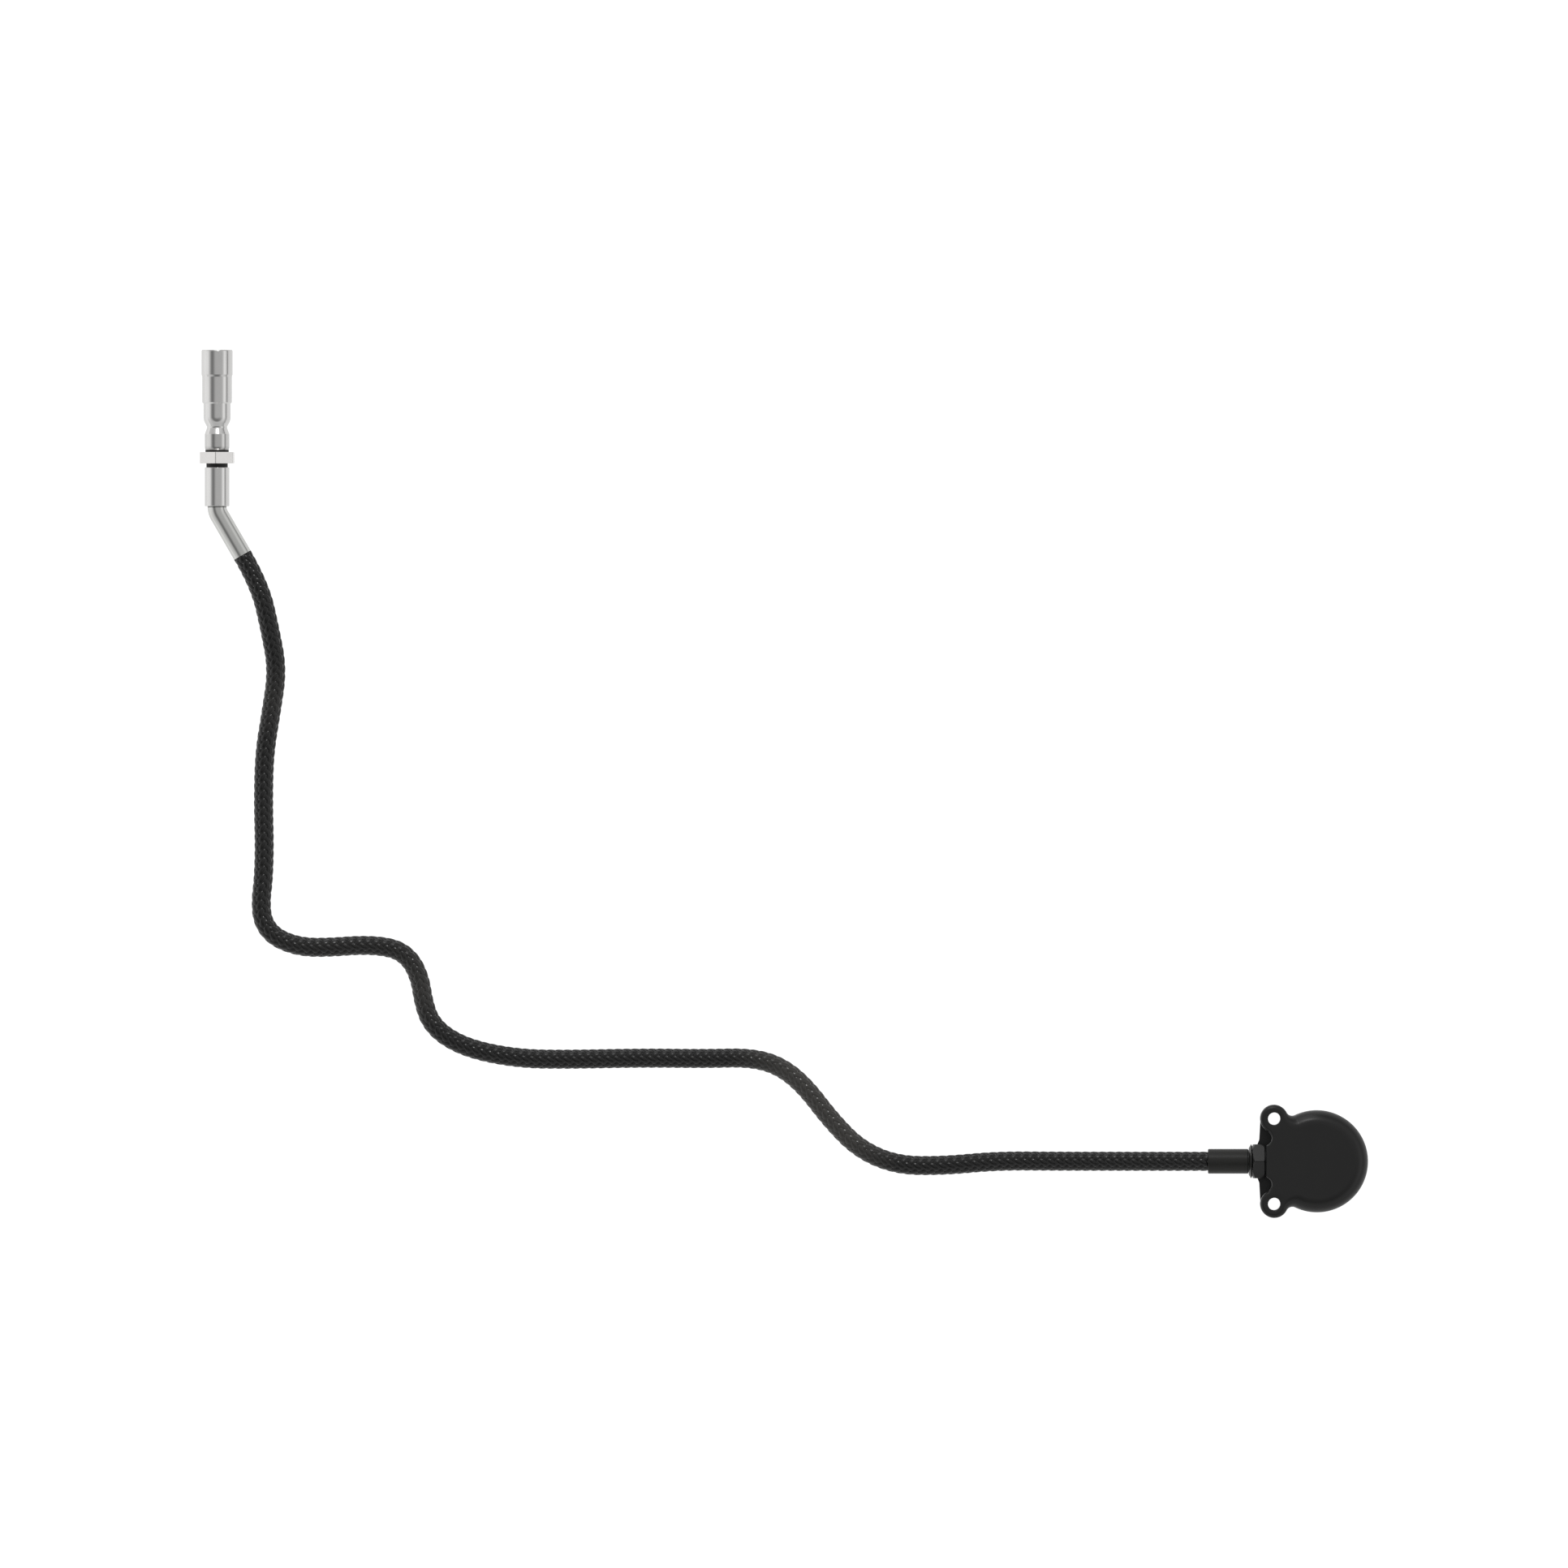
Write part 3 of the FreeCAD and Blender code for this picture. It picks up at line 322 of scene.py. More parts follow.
nickel = finish("satin_nickel", (0.725, 0.72, 0.712), (0.70, 0.695, 0.685), (0.08, 0.13), 1.0,
                smudge_scale=220, marks=(0, 6000, 0), bump=0.03)
nickel_tube = finish("nickel_tube", (0.665, 0.668, 0.65), (0.635, 0.638, 0.62), (0.07, 0.12), 1.0,
                     smudge_scale=260, bump=0.02)
nut_nickel = finish("nut_nickel", (0.87, 0.855, 0.84), (0.84, 0.825, 0.81), (0.22, 0.3), 1.0,
                    smudge_scale=300, bump=0.03)
enamel = finish("black_enamel", (0.0085, 0.0085, 0.0085), (0.0115, 0.0115, 0.0112), (0.27, 0.35),
                smudge_scale=160, bump=0.10, grain_scale=3000, specular=0.4)
blackened = finish("blackened_steel", (0.0135, 0.0135, 0.0125), (0.0175, 0.0175, 0.016), (0.3, 0.42),
                   smudge_scale=260, marks=(7000, 0, 0), bump=0.1, specular=0.32)
gland_black = finish("gland_black", (0.0055, 0.0055, 0.0055), (0.008, 0.008, 0.0076), (0.12, 0.18),
                     smudge_scale=260, marks=(5000, 0, 0), bump=0.04, specular=0.5)
collar_black = finish("collar_black", (0.004, 0.004, 0.0036), (0.007, 0.007, 0.0062), (0.10, 0.16),
                      smudge_scale=260, bump=0.03, specular=0.85)
# A darker copy of the satin nickel for the barrel's stem below the flare: painted shade for its darker
# reflections.
shaded_nickel_stem = finish("shaded_nickel_stem", (0.66, 0.655, 0.645), (0.63, 0.625, 0.615), (0.08, 0.13), 1.0,
                     smudge_scale=220, marks=(0, 6000, 0), bump=0.03)
rubber = finish("black_rubber", (0.009, 0.009, 0.009), (0.014, 0.014, 0.014), (0.5, 0.65), bump=0.15,
                specular=0.35)
liner = finish("black_liner", (0.006, 0.006, 0.006), (0.009, 0.009, 0.009), (0.55, 0.7), bump=0.1)
steel = finish("plain_steel", (0.56, 0.56, 0.57), (0.44, 0.44, 0.45), (0.25, 0.38), 1.0,
               smudge_scale=400, bump=0.08)
spring = finish("spring_steel", (0.42, 0.42, 0.44), (0.34, 0.34, 0.36), (0.25, 0.35), 1.0,
                smudge_scale=500, bump=0.05)
brass = finish("brass", (0.71, 0.55, 0.29), (0.60, 0.45, 0.22), (0.22, 0.34), 1.0,
               smudge_scale=400, bump=0.08)


# %% Painted shade on the two pieces that show it, and the finish of every CAD node
# Near-black colour of the painted shade at the joints.
PAINTED_SHADE = (0.02, 0.02, 0.019, 1)


def darkened_end(material, unshaded_y, dark_y, share):
    """Mixes near-black painted shade into the colour of a finish, between two places along Y in millimetres.
    """
    tree = material.node_tree
    colour = tree.nodes["Principled BSDF"].inputs["Base Color"]
    places = {"Unshaded Y": unshaded_y * MM, "Dark Y": dark_y * MM, "Share": share}
    band = add(tree, "Group", places, node_tree=painted_shade_band)
    mix = add(tree, "Mix", {"B": PAINTED_SHADE}, data_type="RGBA")
    join(tree,
         (band.outputs["Mask"], mix.inputs["Factor"]),
         (colour.links[0].from_socket, mix.inputs["A"]),
         (mix.outputs["Result"], colour))


# Painted shade: a dark line round the tube just below the sleeve's end, where the joint lies in shadow.
darkened_end(nickel_tube, ends("sleeve", 1)[0] - 0.42, ends("sleeve", 1)[0] - 0.1, 0.85)
# Painted shade: the stem darkens towards the lock nut, where its reflections fall off.
darkened_end(shaded_nickel_stem, ends("lock_nut", 1)[1] + 1.6, ends("lock_nut", 1)[1] + 0.45, 0.35)
by_slot = {
    "satin_nickel": nickel,
    "plain_steel": steel,
    "spring_steel": spring,
    "brass": brass,
    "black_liner": liner,
    "black_rubber": rubber,
    "black_enamel": enamel,
    "blackened_steel": blackened,
    "black_braid": liner,
}
for node_name, node in frame["nodes"].items():
    node.data.materials.clear()
    node.data.materials.append(by_slot[slot_of[node_name]])

# %% [markdown]
# ## The cable's line
# The cable is one smooth curve. Its control points are the points that the CAD tube follows, and a NURBS
# spline of order 3 passes near them. The spline starts at the end of the bent tube and ends inside the
# ferrule.

# %% Route of the cable, in millimetres
route = [
    (-262.6, 154.3, 4.895),
    (-258.15, 146.59, 4.895),
    (-255.5, 135.0, 4.2),
    (-253.7, 125.0, 3.0),
    (-255.4, 113.7, 2.65),
    (-257.0, 103.9, 2.6),
    (-257.3, 92.0, 2.6),
    (-257.0, 79.8, 2.6),
    (-257.3, 71.4, 2.6),
    (-257.9, 66.7, 2.6),
    (-257.6, 61.5, 2.6),
    (-255.2, 57.8, 2.6),
    (-251.3, 55.6, 2.6),
    (-246.2, 54.4, 2.6),
    (-239.6, 54.5, 2.6),
    (-233.0, 55.0, 2.6),
    (-227.3, 54.8, 2.6),
    (-222.7, 53.7, 2.6),
    (-219.3, 50.7, 2.6),
    (-217.3, 45.9, 2.6),
    (-216.6, 41.1, 2.6),
    (-215.0, 35.8, 2.6),
    (-210.9, 31.6, 2.6),
    (-203.8, 28.3, 2.6),
    (-192.1, 26.1, 2.6),
    (-179.7, 25.9, 2.6),
    (-161.1, 26.3, 2.6),
    (-144.6, 26.1, 2.6),
    (-133.6, 26.4, 2.6),
    (-126.2, 24.5, 2.6),
    (-119.7, 19.5, 2.6),
    (-112.5, 10.1, 2.6),
    (-105.3, 2.9, 2.6),
    (-96.0, -1.0, 2.6),
    (-84.7, -1.2, 2.6),
    (-70.4, 0.1, 2.6),
    (-55.7, 0.0, 2.75),
    (-39.6, 0.0, 4.7),
    (-23.4, 0.0, 6.987),
    (-7.9, 0.0, 6.987),
]
line_data = bpy.data.curves.new("cable_line", "CURVE")
line_data.dimensions = "3D"
line_data.resolution_u = 24
spline = line_data.splines.new("NURBS")
spline.points.add(len(route) - 1)
spline.points.foreach_set("co", [v for x, y, z in route for v in (x * MM, y * MM, z * MM, 1)])
spline.order_u = 3
spline.use_endpoint_u = True
line_object = bpy.data.objects.new("cable_line", line_data)
line_mesh = bpy.data.meshes.new_from_object(line_object)
line = np.zeros(len(line_mesh.vertices) * 3)
line_mesh.vertices.foreach_get("co", line)
line = line.reshape(-1, 3) / MM
bpy.data.objects.remove(line_object)
steps = np.linalg.norm(np.diff(line, axis=0), axis=1)
along = np.concatenate([[0], np.cumsum(steps)])
cable_length = along[-1]
print("cable line %d points, %.1f mm long" % (len(line), cable_length))

# %% [markdown]
# ## The braid
# The sheath is braided from sixteen flat strands, eight wound each way, and each strand goes over two
# strands and then under two. A strand is a flat, rounded section carried along a helix round the cable's
# line, and it rises and sinks as it crosses the others. One object holds the strands of each direction.

# %% Braid sizes, in millimetres
CABLE_D = 5.0
STRANDS = 8
LEAD = 17.2
STRAND_WIDTH = 1.42
STRAND_THICK = 0.42
LIFT = 0.19
SIDES_ROUND = 8
BOXY_ACROSS = 0.8
BOXY_UP = 0.9
WEAVE_STEEP = 1.4
STEP = 0.34
helix_r = CABLE_D / 2 - LIFT - STRAND_THICK / 2
lay_angle = math.atan2(2 * math.pi * helix_r, LEAD)
print("strands lie %.0f degrees from the cable's line" % math.degrees(lay_angle))


# %% Points round the cable's line
LOOK_AHEAD = 0.4


def on_cable(s, angle, radius):
    """The point at a length along the line, turned by an angle from the upper side, off by a radius."""
    s = np.clip(s, 0, cable_length)
    centre = np.stack([np.interp(s, along, line[:, k]) for k in range(3)], axis=-1)
    later, sooner = [np.clip(s + step, 0, cable_length) for step in (LOOK_AHEAD, -LOOK_AHEAD)]
    ahead = np.stack([np.interp(later, along, line[:, k]) for k in range(3)], axis=-1)
    behind = np.stack([np.interp(sooner, along, line[:, k]) for k in range(3)], axis=-1)
    tangent = ahead - behind
    tangent /= np.linalg.norm(tangent, axis=-1, keepdims=True)
    side = np.cross(tangent, (0, 0, 1))
    side /= np.linalg.norm(side, axis=-1, keepdims=True)
    up = np.cross(side, tangent)
    return centre + radius[..., None] * (np.cos(angle)[..., None] * up + np.sin(angle)[..., None] * side)


def weave(x):
    """Rises over crossings 0 and 1 and sinks under crossings 2 and 3, of every four."""
    return np.tanh(WEAVE_STEEP * np.sin(np.pi / 2 * (x + 0.5))) / math.tanh(WEAVE_STEEP)


# %% Strands of one direction
def strands(way):
    """All strands wound one way: section round, length along and strand number are array axes."""
    rows = int(cable_length / STEP) + 4
    s = np.linspace(-1.0, cable_length + 1.0, rows)[None, :, None]
    number = np.arange(STRANDS)[:, None, None]
    t = (np.arange(SIDES_ROUND) * 2 * np.pi / SIDES_ROUND)[None, None, :]
    section_c = np.sign(np.cos(t)) * np.abs(np.cos(t)) ** BOXY_ACROSS
    section_h = np.sign(np.sin(t)) * np.abs(np.sin(t)) ** BOXY_UP
    across = STRAND_WIDTH / 2 * section_c
    height = way * LIFT * weave(2 * number + way * 2 * STRANDS * s / LEAD) + STRAND_THICK / 2 * section_h
    angle = way * 2 * np.pi * s / LEAD + 2 * np.pi * number / STRANDS
    at_s = s - way * across * math.sin(lay_angle)
    at_angle = angle + across * math.cos(lay_angle) / helix_r
    shape = np.broadcast_shapes(at_s.shape, at_angle.shape, height.shape)
    points = on_cable(np.broadcast_to(at_s, shape), np.broadcast_to(at_angle, shape),
                      np.broadcast_to(helix_r + height, shape))
    points = points.reshape(-1, 3)
    first_end = np.array([(0, 7, 2, 1), (7, 6, 3, 2), (6, 5, 4, 3)])
    last_end = first_end[:, ::-1] + (rows - 1) * SIDES_ROUND
    one = np.concatenate([grid_faces(rows, SIDES_ROUND), first_end, last_end])
    faces = np.concatenate([one + k * rows * SIDES_ROUND for k in range(STRANDS)])
    return points, faces, s, t, rows


# %% [markdown]
# The strands are black, a little glossy, and made of fine parallel yarns. The yarns follow the strand, so
# their pattern reads the strand's own UV map: U runs along the strand and V round its section. Three
# stretches of the cable, where the strands lie across the light, are lighter: a colour ramp along U mixes a
# painted sheen into the black there.

# %% Braid finish
YARNS = 11
# Painted sheen: stops of (millimetres along the cable, share of the lighter grey) where the strands catch the
# light.
SHEEN_STRETCHES = [(28, 0), (39, 0.35), (49, 0), (130, 0.1), (144, 0.6), (155, 0), (231, 0), (246, 1),
                   (270, 0.95), (284, 0)]


def braid_finish():
    """Black yarn: thin ridges along the strand, a slight change of tone, and three stretches of painted
    sheen.
    """
    material = bpy.data.materials.new("black_braid")
    material.use_nodes = True
    tree = material.node_tree
    shader = tree.nodes["Principled BSDF"]
    shader.inputs["Specular IOR Level"].default_value = 0.46
    where = add(tree, "UVMap", uv_map="strand")
    split = add(tree, "SeparateXYZ")
    ridges = add(tree, "Math", {1: 2 * math.pi * YARNS}, operation="MULTIPLY")
    wave = add(tree, "Math", operation="SINE")
    smudge = add(tree, "Group", {"Scale": 350, "Contrast": 1.5}, node_tree=smudges)
    tone = add(tree, "Mix", {"A": (0.0032, 0.0032, 0.0033, 1), "B": (0.0065, 0.0065, 0.0062, 1)},
               data_type="RGBA")
    rough = add(tree, "MapRange", {"To Min": 0.11, "To Max": 0.17})
    raised = add(tree, "Bump", {"Strength": 0.16, "Distance": 0.00003})
    place = add(tree, "MapRange", {"From Max": cable_length / LEAD})
    sheen_share = grey_ramp(tree, place.outputs[0], SHEEN_STRETCHES, 0, cable_length)
    # The painted sheen: a lighter grey mixed into the black.
    sheen_mix = add(tree, "Mix", {"B": (0.046, 0.0435, 0.040, 1)}, data_type="RGBA")
    join(tree,
         (where.outputs["UV"], split.inputs[0]),
         (split.outputs["Y"], ridges.inputs[0]),
         (ridges.outputs[0], wave.inputs[0]),
         (wave.outputs[0], raised.inputs["Height"]),
         (raised.outputs["Normal"], shader.inputs["Normal"]),
         (smudge.outputs["Value"], tone.inputs["Factor"]),
         (smudge.outputs["Value"], rough.inputs["Value"]),
         (split.outputs["X"], place.inputs["Value"]),
         (sheen_share, sheen_mix.inputs["Factor"]),
         (tone.outputs["Result"], sheen_mix.inputs["A"]),
         (sheen_mix.outputs["Result"], shader.inputs["Base Color"]),
         (rough.outputs[0], shader.inputs["Roughness"]))
    return material


black_braid = braid_finish()


# %% Both directions of the braid
def braid_piece(name, way, nodes):
    """One direction of the braid as a piece, with its UV map."""
    points, faces, s, t, rows = strands(way)
    piece = put(name, points, faces, black_braid, "fixed_parts", nodes, sharp=75, outward=False)
    u = np.broadcast_to(s[0] / LEAD, (rows, SIDES_ROUND)).ravel()
    v = np.broadcast_to(t[0] / (2 * np.pi), (rows, SIDES_ROUND)).ravel()
    u, v = np.tile(u, STRANDS), np.tile(v, STRANDS)
    around = np.array(faces)
    uv_v = v[around]
    wrapped = uv_v.max(axis=1, keepdims=True) - uv_v > 0.5
    uv_v = np.where(wrapped, uv_v + 1, uv_v)
    layer = piece.data.uv_layers.new(name="strand")
    layer.data.foreach_set("uv", np.stack([u[around], uv_v], axis=-1).ravel())
    return piece


braid_right = braid_piece("braid_right_hand", 1, ["braided_sheath"])
braid_left = braid_piece("braid_left_hand", -1, [])

# %% Core under the braid
CORE_R = 2.0
CORE_ROWS = 900
CORE_SIDES = 24
CORE_SHORT = 0.02
core_rows = np.linspace(CORE_SHORT, cable_length - CORE_SHORT, CORE_ROWS)
core_t = np.linspace(0, 2 * np.pi, CORE_SIDES, endpoint=False)
core_s, core_a = np.meshgrid(core_rows, core_t, indexing="ij")
core_points = on_cable(core_s, core_a, np.full(core_s.shape, CORE_R)).reshape(-1, 3)
core = put("cable_core", core_points, tube_faces(CORE_ROWS, CORE_SIDES), liner, "fixed_parts",
           ["cable_jacket"])

# %% [markdown]
# ## Turned pieces
# The plunger, its sleeve and rings and the ferrule are turned on a lathe, so each is an outline of station
# and radius, spun round an axis. Corners get a small radius, because a real edge always catches a thin
# line of light, and each straight stretch gets a point close to its ends, which keeps its shading flat.

# %% Outlines with rounded corners
ARC_STEPS = 5
HOLD = 0.04


def rounded(outline, closed=True):
    """Points along an outline of (station, radius, corner radius), with arcs at the corners."""
    spots = np.array([p[:2] for p in outline], float)
    radii = np.array([p[2] if len(p) > 2 else 0.0 for p in outline])
    found = []
    count = len(spots)
    for i in range(count):
        here = spots[i]
        before = spots[i - 1] if (closed or i > 0) else here
        after = spots[(i + 1) % count] if (closed or i < count - 1) else here
        a, b = before - here, after - here
        la, lb = np.linalg.norm(a), np.linalg.norm(b)
        if radii[i] == 0 or la == 0 or lb == 0:
            arc = here[None, :]
        else:
            a, b = a / la, b / lb
            half = math.acos(np.clip(a @ b, -1, 1)) / 2
            reach = min(radii[i] / math.tan(half), 0.45 * la, 0.45 * lb)
            radius = reach * math.tan(half)
            inward = (a + b) / np.linalg.norm(a + b)
            centre = here + inward * radius / math.sin(half)
            turn = np.linspace(-1, 1, ARC_STEPS + 1) * (math.pi / 2 - half)
            away = -inward
            cross = np.array([-away[1], away[0]])
            if cross @ a > 0:
                turn = -turn
            arc = centre + radius * (np.cos(turn)[:, None] * away + np.sin(turn)[:, None] * cross)
        found.append(arc)
    held = []
    for i in range(count):
        arc = found[i]
        held.append(arc)
        if closed or i < count - 1:
            start, stop = arc[-1], found[(i + 1) % count][0]
            length = np.linalg.norm(stop - start)
            if length > 3 * HOLD:
                share = HOLD / length
                held.append(np.array([start + (stop - start) * share, stop + (start - stop) * share]))
    return np.concatenate(held)


# %% Spinning an outline
def spun(outline, origin, axis, sides=128, closed=True):
    """Points and faces of an outline spun round an axis, 'y' or '-x', from an origin."""
    profile = rounded(outline, closed)
    angle = np.linspace(0, 2 * np.pi, sides, endpoint=False)
    station = np.repeat(profile[:, :1], sides, axis=1)
    across = profile[:, 1:] * np.sin(angle)
    height = profile[:, 1:] * np.cos(angle)
    points = placed_on(axis, origin, station, across, height)
    return points, grid_faces(len(profile), sides, wrap_rows=closed)


def placed_on(axis, origin, station, across, height):
    """Turns station, across and height into points of the model, for the axis 'y', '-x' or 'z'."""
    if axis == "y":
        parts = [origin[0] + across, origin[1] + station, origin[2] + height]
    elif axis == "-x":
        parts = [origin[0] - station, origin[1] + across, origin[2] + height]
    else:
        parts = [origin[0] + across, origin[1] + height, origin[2] + station]
    return np.stack(parts, axis=-1).reshape(-1, 3)


# %% [markdown]
# ## The hand plunger
# From the cable upwards: a bent tube, a plain sleeve, a rubber ring, a hex nut, another ring, the barrel
# with its collar, flare, waist and shoulder, and the thimble-shaped cap that slides over it.

# %% Push cap
head_origin = (head_x, 0.0, head_z)
rim_r = half_width("push_cap", 0)
skirt_r = rim_r - 0.18
barrel_r = half_width("plunger_barrel", 0)
cap_bore = barrel_r + 0.04
cap_roof = cap_top - 1.6
cap_outline = [
    (cap_roof, 0),
    (cap_roof, cap_bore),
    (cap_low, cap_bore, 0.05),
    (cap_low, skirt_r - 0.26, 0.06),
    (cap_low + 0.28, skirt_r, 0.1),
    (cap_top - 6.9, skirt_r, 0.12),
    (cap_top - 6.35, rim_r, 0.2),
    (cap_top, rim_r, 0.35),
    (cap_top, 3.0, 0.2),
    (cap_top - 0.35, 0),
]
points, faces = spun(cap_outline, head_origin, "y", closed=False)
put("push_cap_turned", points, faces, nickel, "plunger", ["push_cap"])

# %% Barrel
stem_low, barrel_top = ends("plunger_barrel", 1)
flare_at = stem_low + 13.5
barrel_outline = [
    (stem_low, 1.4),
    (stem_low, 2.5, 0.1),
    (flare_at - 4.08, 2.5),
    (flare_at - 4.08, 2.97, 0.06),
    (flare_at - 3.45, 3.15, 2.0),
    (flare_at, 3.15, 0.25),
    (flare_at + 1.75, 2.52, 0.75),
    (flare_at + 3.5, barrel_r, 3.2),
    (barrel_top, barrel_r, 0.1),
    (barrel_top, 2.8, 0.1),
    (flare_at + 3.5, 2.8),
    (flare_at + 3.5, 1.14),
    (stem_low, 1.14),
]
points, faces = spun(barrel_outline, head_origin, "y")
barrel = put("barrel_turned", points, faces, nickel, "fixed_parts", ["plunger_barrel"])
# The stem below the flare takes the darker nickel, a painted shade.
barrel.data.materials.append(shaded_nickel_stem)
face_centres = np.empty(len(barrel.data.polygons) * 3)
barrel.data.polygons.foreach_get("center", face_centres)
on_stem = face_centres.reshape(-1, 3)[:, 1] < (flare_at - 0.1) * MM
barrel.data.polygons.foreach_set("material_index", on_stem.astype(np.int32))
print("barrel: %d faces in the stem's finish" % on_stem.sum())

# %% Rings and the sleeve
STEM_BORE = 2.53


def along_axis(node, axis):
    """Where a node starts and ends along the axis 'y', '-x' or 'z', in millimetres from the origin."""
    low, high = ends(node, "xyz".index(axis[-1]))
    return (-high, -low) if axis[0] == "-" else (low, high)


def ring_piece(name, node, origin, axis, inner, material, corner):
    """A plain ring as long and as wide as its node, with rounded edges."""
    start, end = along_axis(node, axis)
    outer = half_width(node, 0 if axis == "y" else 1)
    outline = [(start, inner), (start, outer, corner), (end, outer, corner), (end, inner)]
    points, faces = spun(outline, origin, axis)
    put(name, points, faces, material, "fixed_parts", [node])


ring_piece("front_ring", "front_seal_ring", head_origin, "y", STEM_BORE, rubber, 0.2)
ring_piece("rear_ring", "rear_seal_ring", head_origin, "y", STEM_BORE, rubber, 0.1)
ring_piece("sleeve_turned", "sleeve", head_origin, "y", STEM_BORE, nickel, 0.15)


# %% Hex nuts
HALF_SIDE = math.radians(30)
NUT_POINTS = (10, 20, 6, 20, 10, 1)
NUT_TURN_STEP = 1.5
BLUNT_EDGE = 0.05


def nut_piece(name, node, origin, axis, bore, flats, near, far, turn, material):
    """A hex nut: at each angle and station, the smaller of the hexagon's and the chamfer cone's radius."""
    start, end = along_axis(node, axis)
    corner = flats / 2 / math.cos(HALF_SIDE)
    blank = [(start, bore), (start, corner - near[1]), (start + near[0], corner)]
    blank += [(end - far[0], corner), (end, corner - far[1]), (end, bore)]
    stations = [np.linspace(blank[i], blank[(i + 1) % 6], n, endpoint=False)
                for i, n in enumerate(NUT_POINTS)]
    profile = np.concatenate(stations)
    angle = np.radians(np.arange(0, 360, NUT_TURN_STEP) + turn)
    from_flat = np.mod(angle - math.radians(turn) + HALF_SIDE, 2 * HALF_SIDE) - HALF_SIDE
    hexagon = flats / 2 / np.cos(HALF_SIDE - np.abs(from_flat))
    hexagon = np.minimum(hexagon, corner - BLUNT_EDGE)
    radius = np.minimum(profile[:, 1:], hexagon[None, :])
    station = np.repeat(profile[:, :1], len(angle), axis=1)
    points = placed_on(axis, origin, station, radius * np.sin(angle), radius * np.cos(angle))
    put(name, points, grid_faces(len(profile), len(angle), wrap_rows=True), material, "fixed_parts", [node],
        sharp=18)


nut_piece("lock_nut_turned", "lock_nut", head_origin, "y", STEM_BORE, 8.5, (0.12, 0.21), (0.12, 0.21), -4.0,
          nut_nickel)

# %% [markdown]
# ## Springs
# Two coil springs push the plunger and the pin back. A spring is a round wire along a helix, and it is the
# one metal part here that changes its shape in use, because each press shortens it.


def spring_piece(name, node, origin, axis, wire, turns):
    """A centre goes round the axis as it climbs evenly, and a circle square to its path is carried on it."""
    low, high = along_axis(node, axis)
    mean_r = half_width(node, 0) - wire / 2
    rows, sides = turns * 48 + 1, 14
    share = np.linspace(0, 1, rows)[:, None]
    turn = 2 * np.pi * turns * share
    around = np.linspace(0, 2 * np.pi, sides, endpoint=False)[None, :]
    slope = math.atan2((high - low - wire) / turns, 2 * math.pi * mean_r)
    radius = mean_r + wire / 2 * np.cos(around)
    lift = wire / 2 * np.sin(around)
    station = low + wire / 2 + (high - low - wire) * share + lift * math.cos(slope)
    across = radius * np.cos(turn) + lift * math.sin(slope) * np.sin(turn)
    height = radius * np.sin(turn) - lift * math.sin(slope) * np.cos(turn)
    points = placed_on(axis, origin, station, across, height)
    piece = put(name, points, tube_faces(rows, sides), spring, "fixed_parts", [node])
    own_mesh(piece)


spring_piece("plunger_coil", "plunger_spring", head_origin, "y", 0.5, 9)
pin_origin = (mid("release_pin", 0), 0.0, 0.0)
spring_piece("pin_coil", "pin_spring", pin_origin, "z", 0.45, 3)

# %% [markdown]
# The bent tube is a circle carried along a path: straight out of the sleeve, round a short bend of 30
# degrees, and straight again to the cable.

# %% Bent tube
TUBE_R = 2.45
TUBE_BORE = 1.4
BEND_R = 4.5
BEND = math.radians(30)
INSIDE_SLEEVE = 4.6
TUBE_SIDES = 96
cable_start = np.array(route[0])
leg = 12.9
corner_point = cable_start[:2] - leg * np.array([math.sin(BEND), -math.cos(BEND)])
tangent = BEND_R * math.tan(BEND / 2)
turn = np.linspace(0, BEND, 25)
arc_centre = corner_point + np.array([BEND_R, tangent])
arc = arc_centre + BEND_R * np.stack([-np.cos(turn), -np.sin(turn)], axis=1)
way_out = np.array([math.sin(BEND), -math.cos(BEND)])
straight = np.array([[corner_point[0], corner_point[1] + tangent + INSIDE_SLEEVE]])
holds = arc[-1] + np.outer([0.15, leg - tangent - 0.1, leg - tangent], way_out)
path = np.concatenate([straight, arc, holds])
heading = np.concatenate([[0], turn, [BEND] * 3])
angle = np.linspace(0, 2 * np.pi, TUBE_SIDES, endpoint=False)


def carried(radius):
    """The circle of a radius at every point of the path, square to it."""
    side = np.stack([np.cos(heading), np.sin(heading)], axis=1)
    x = path[:, :1] + radius * np.sin(angle) * side[:, :1]
    y = path[:, 1:] + radius * np.sin(angle) * side[:, 1:]
    z = head_z + radius * np.cos(angle) + 0 * x
    return np.stack([x, y, z], axis=-1)


tube_points = np.concatenate([carried(TUBE_R), carried(TUBE_BORE)[::-1]]).reshape(-1, 3)
tube_grid = grid_faces(2 * len(path), TUBE_SIDES, wrap_rows=True)
put("bent_tube", tube_points, tube_grid, nickel_tube, "fixed_parts", ["elbow_tube"])

# %% [markdown]
# ## The cable's end at the housing
# A crimped ferrule, a round collar, a hex nut with its corner upwards and a rubber washer. The nut's outer
# end has a long chamfer, which cuts a curved line into each flat, and the collar is as wide as the flats.

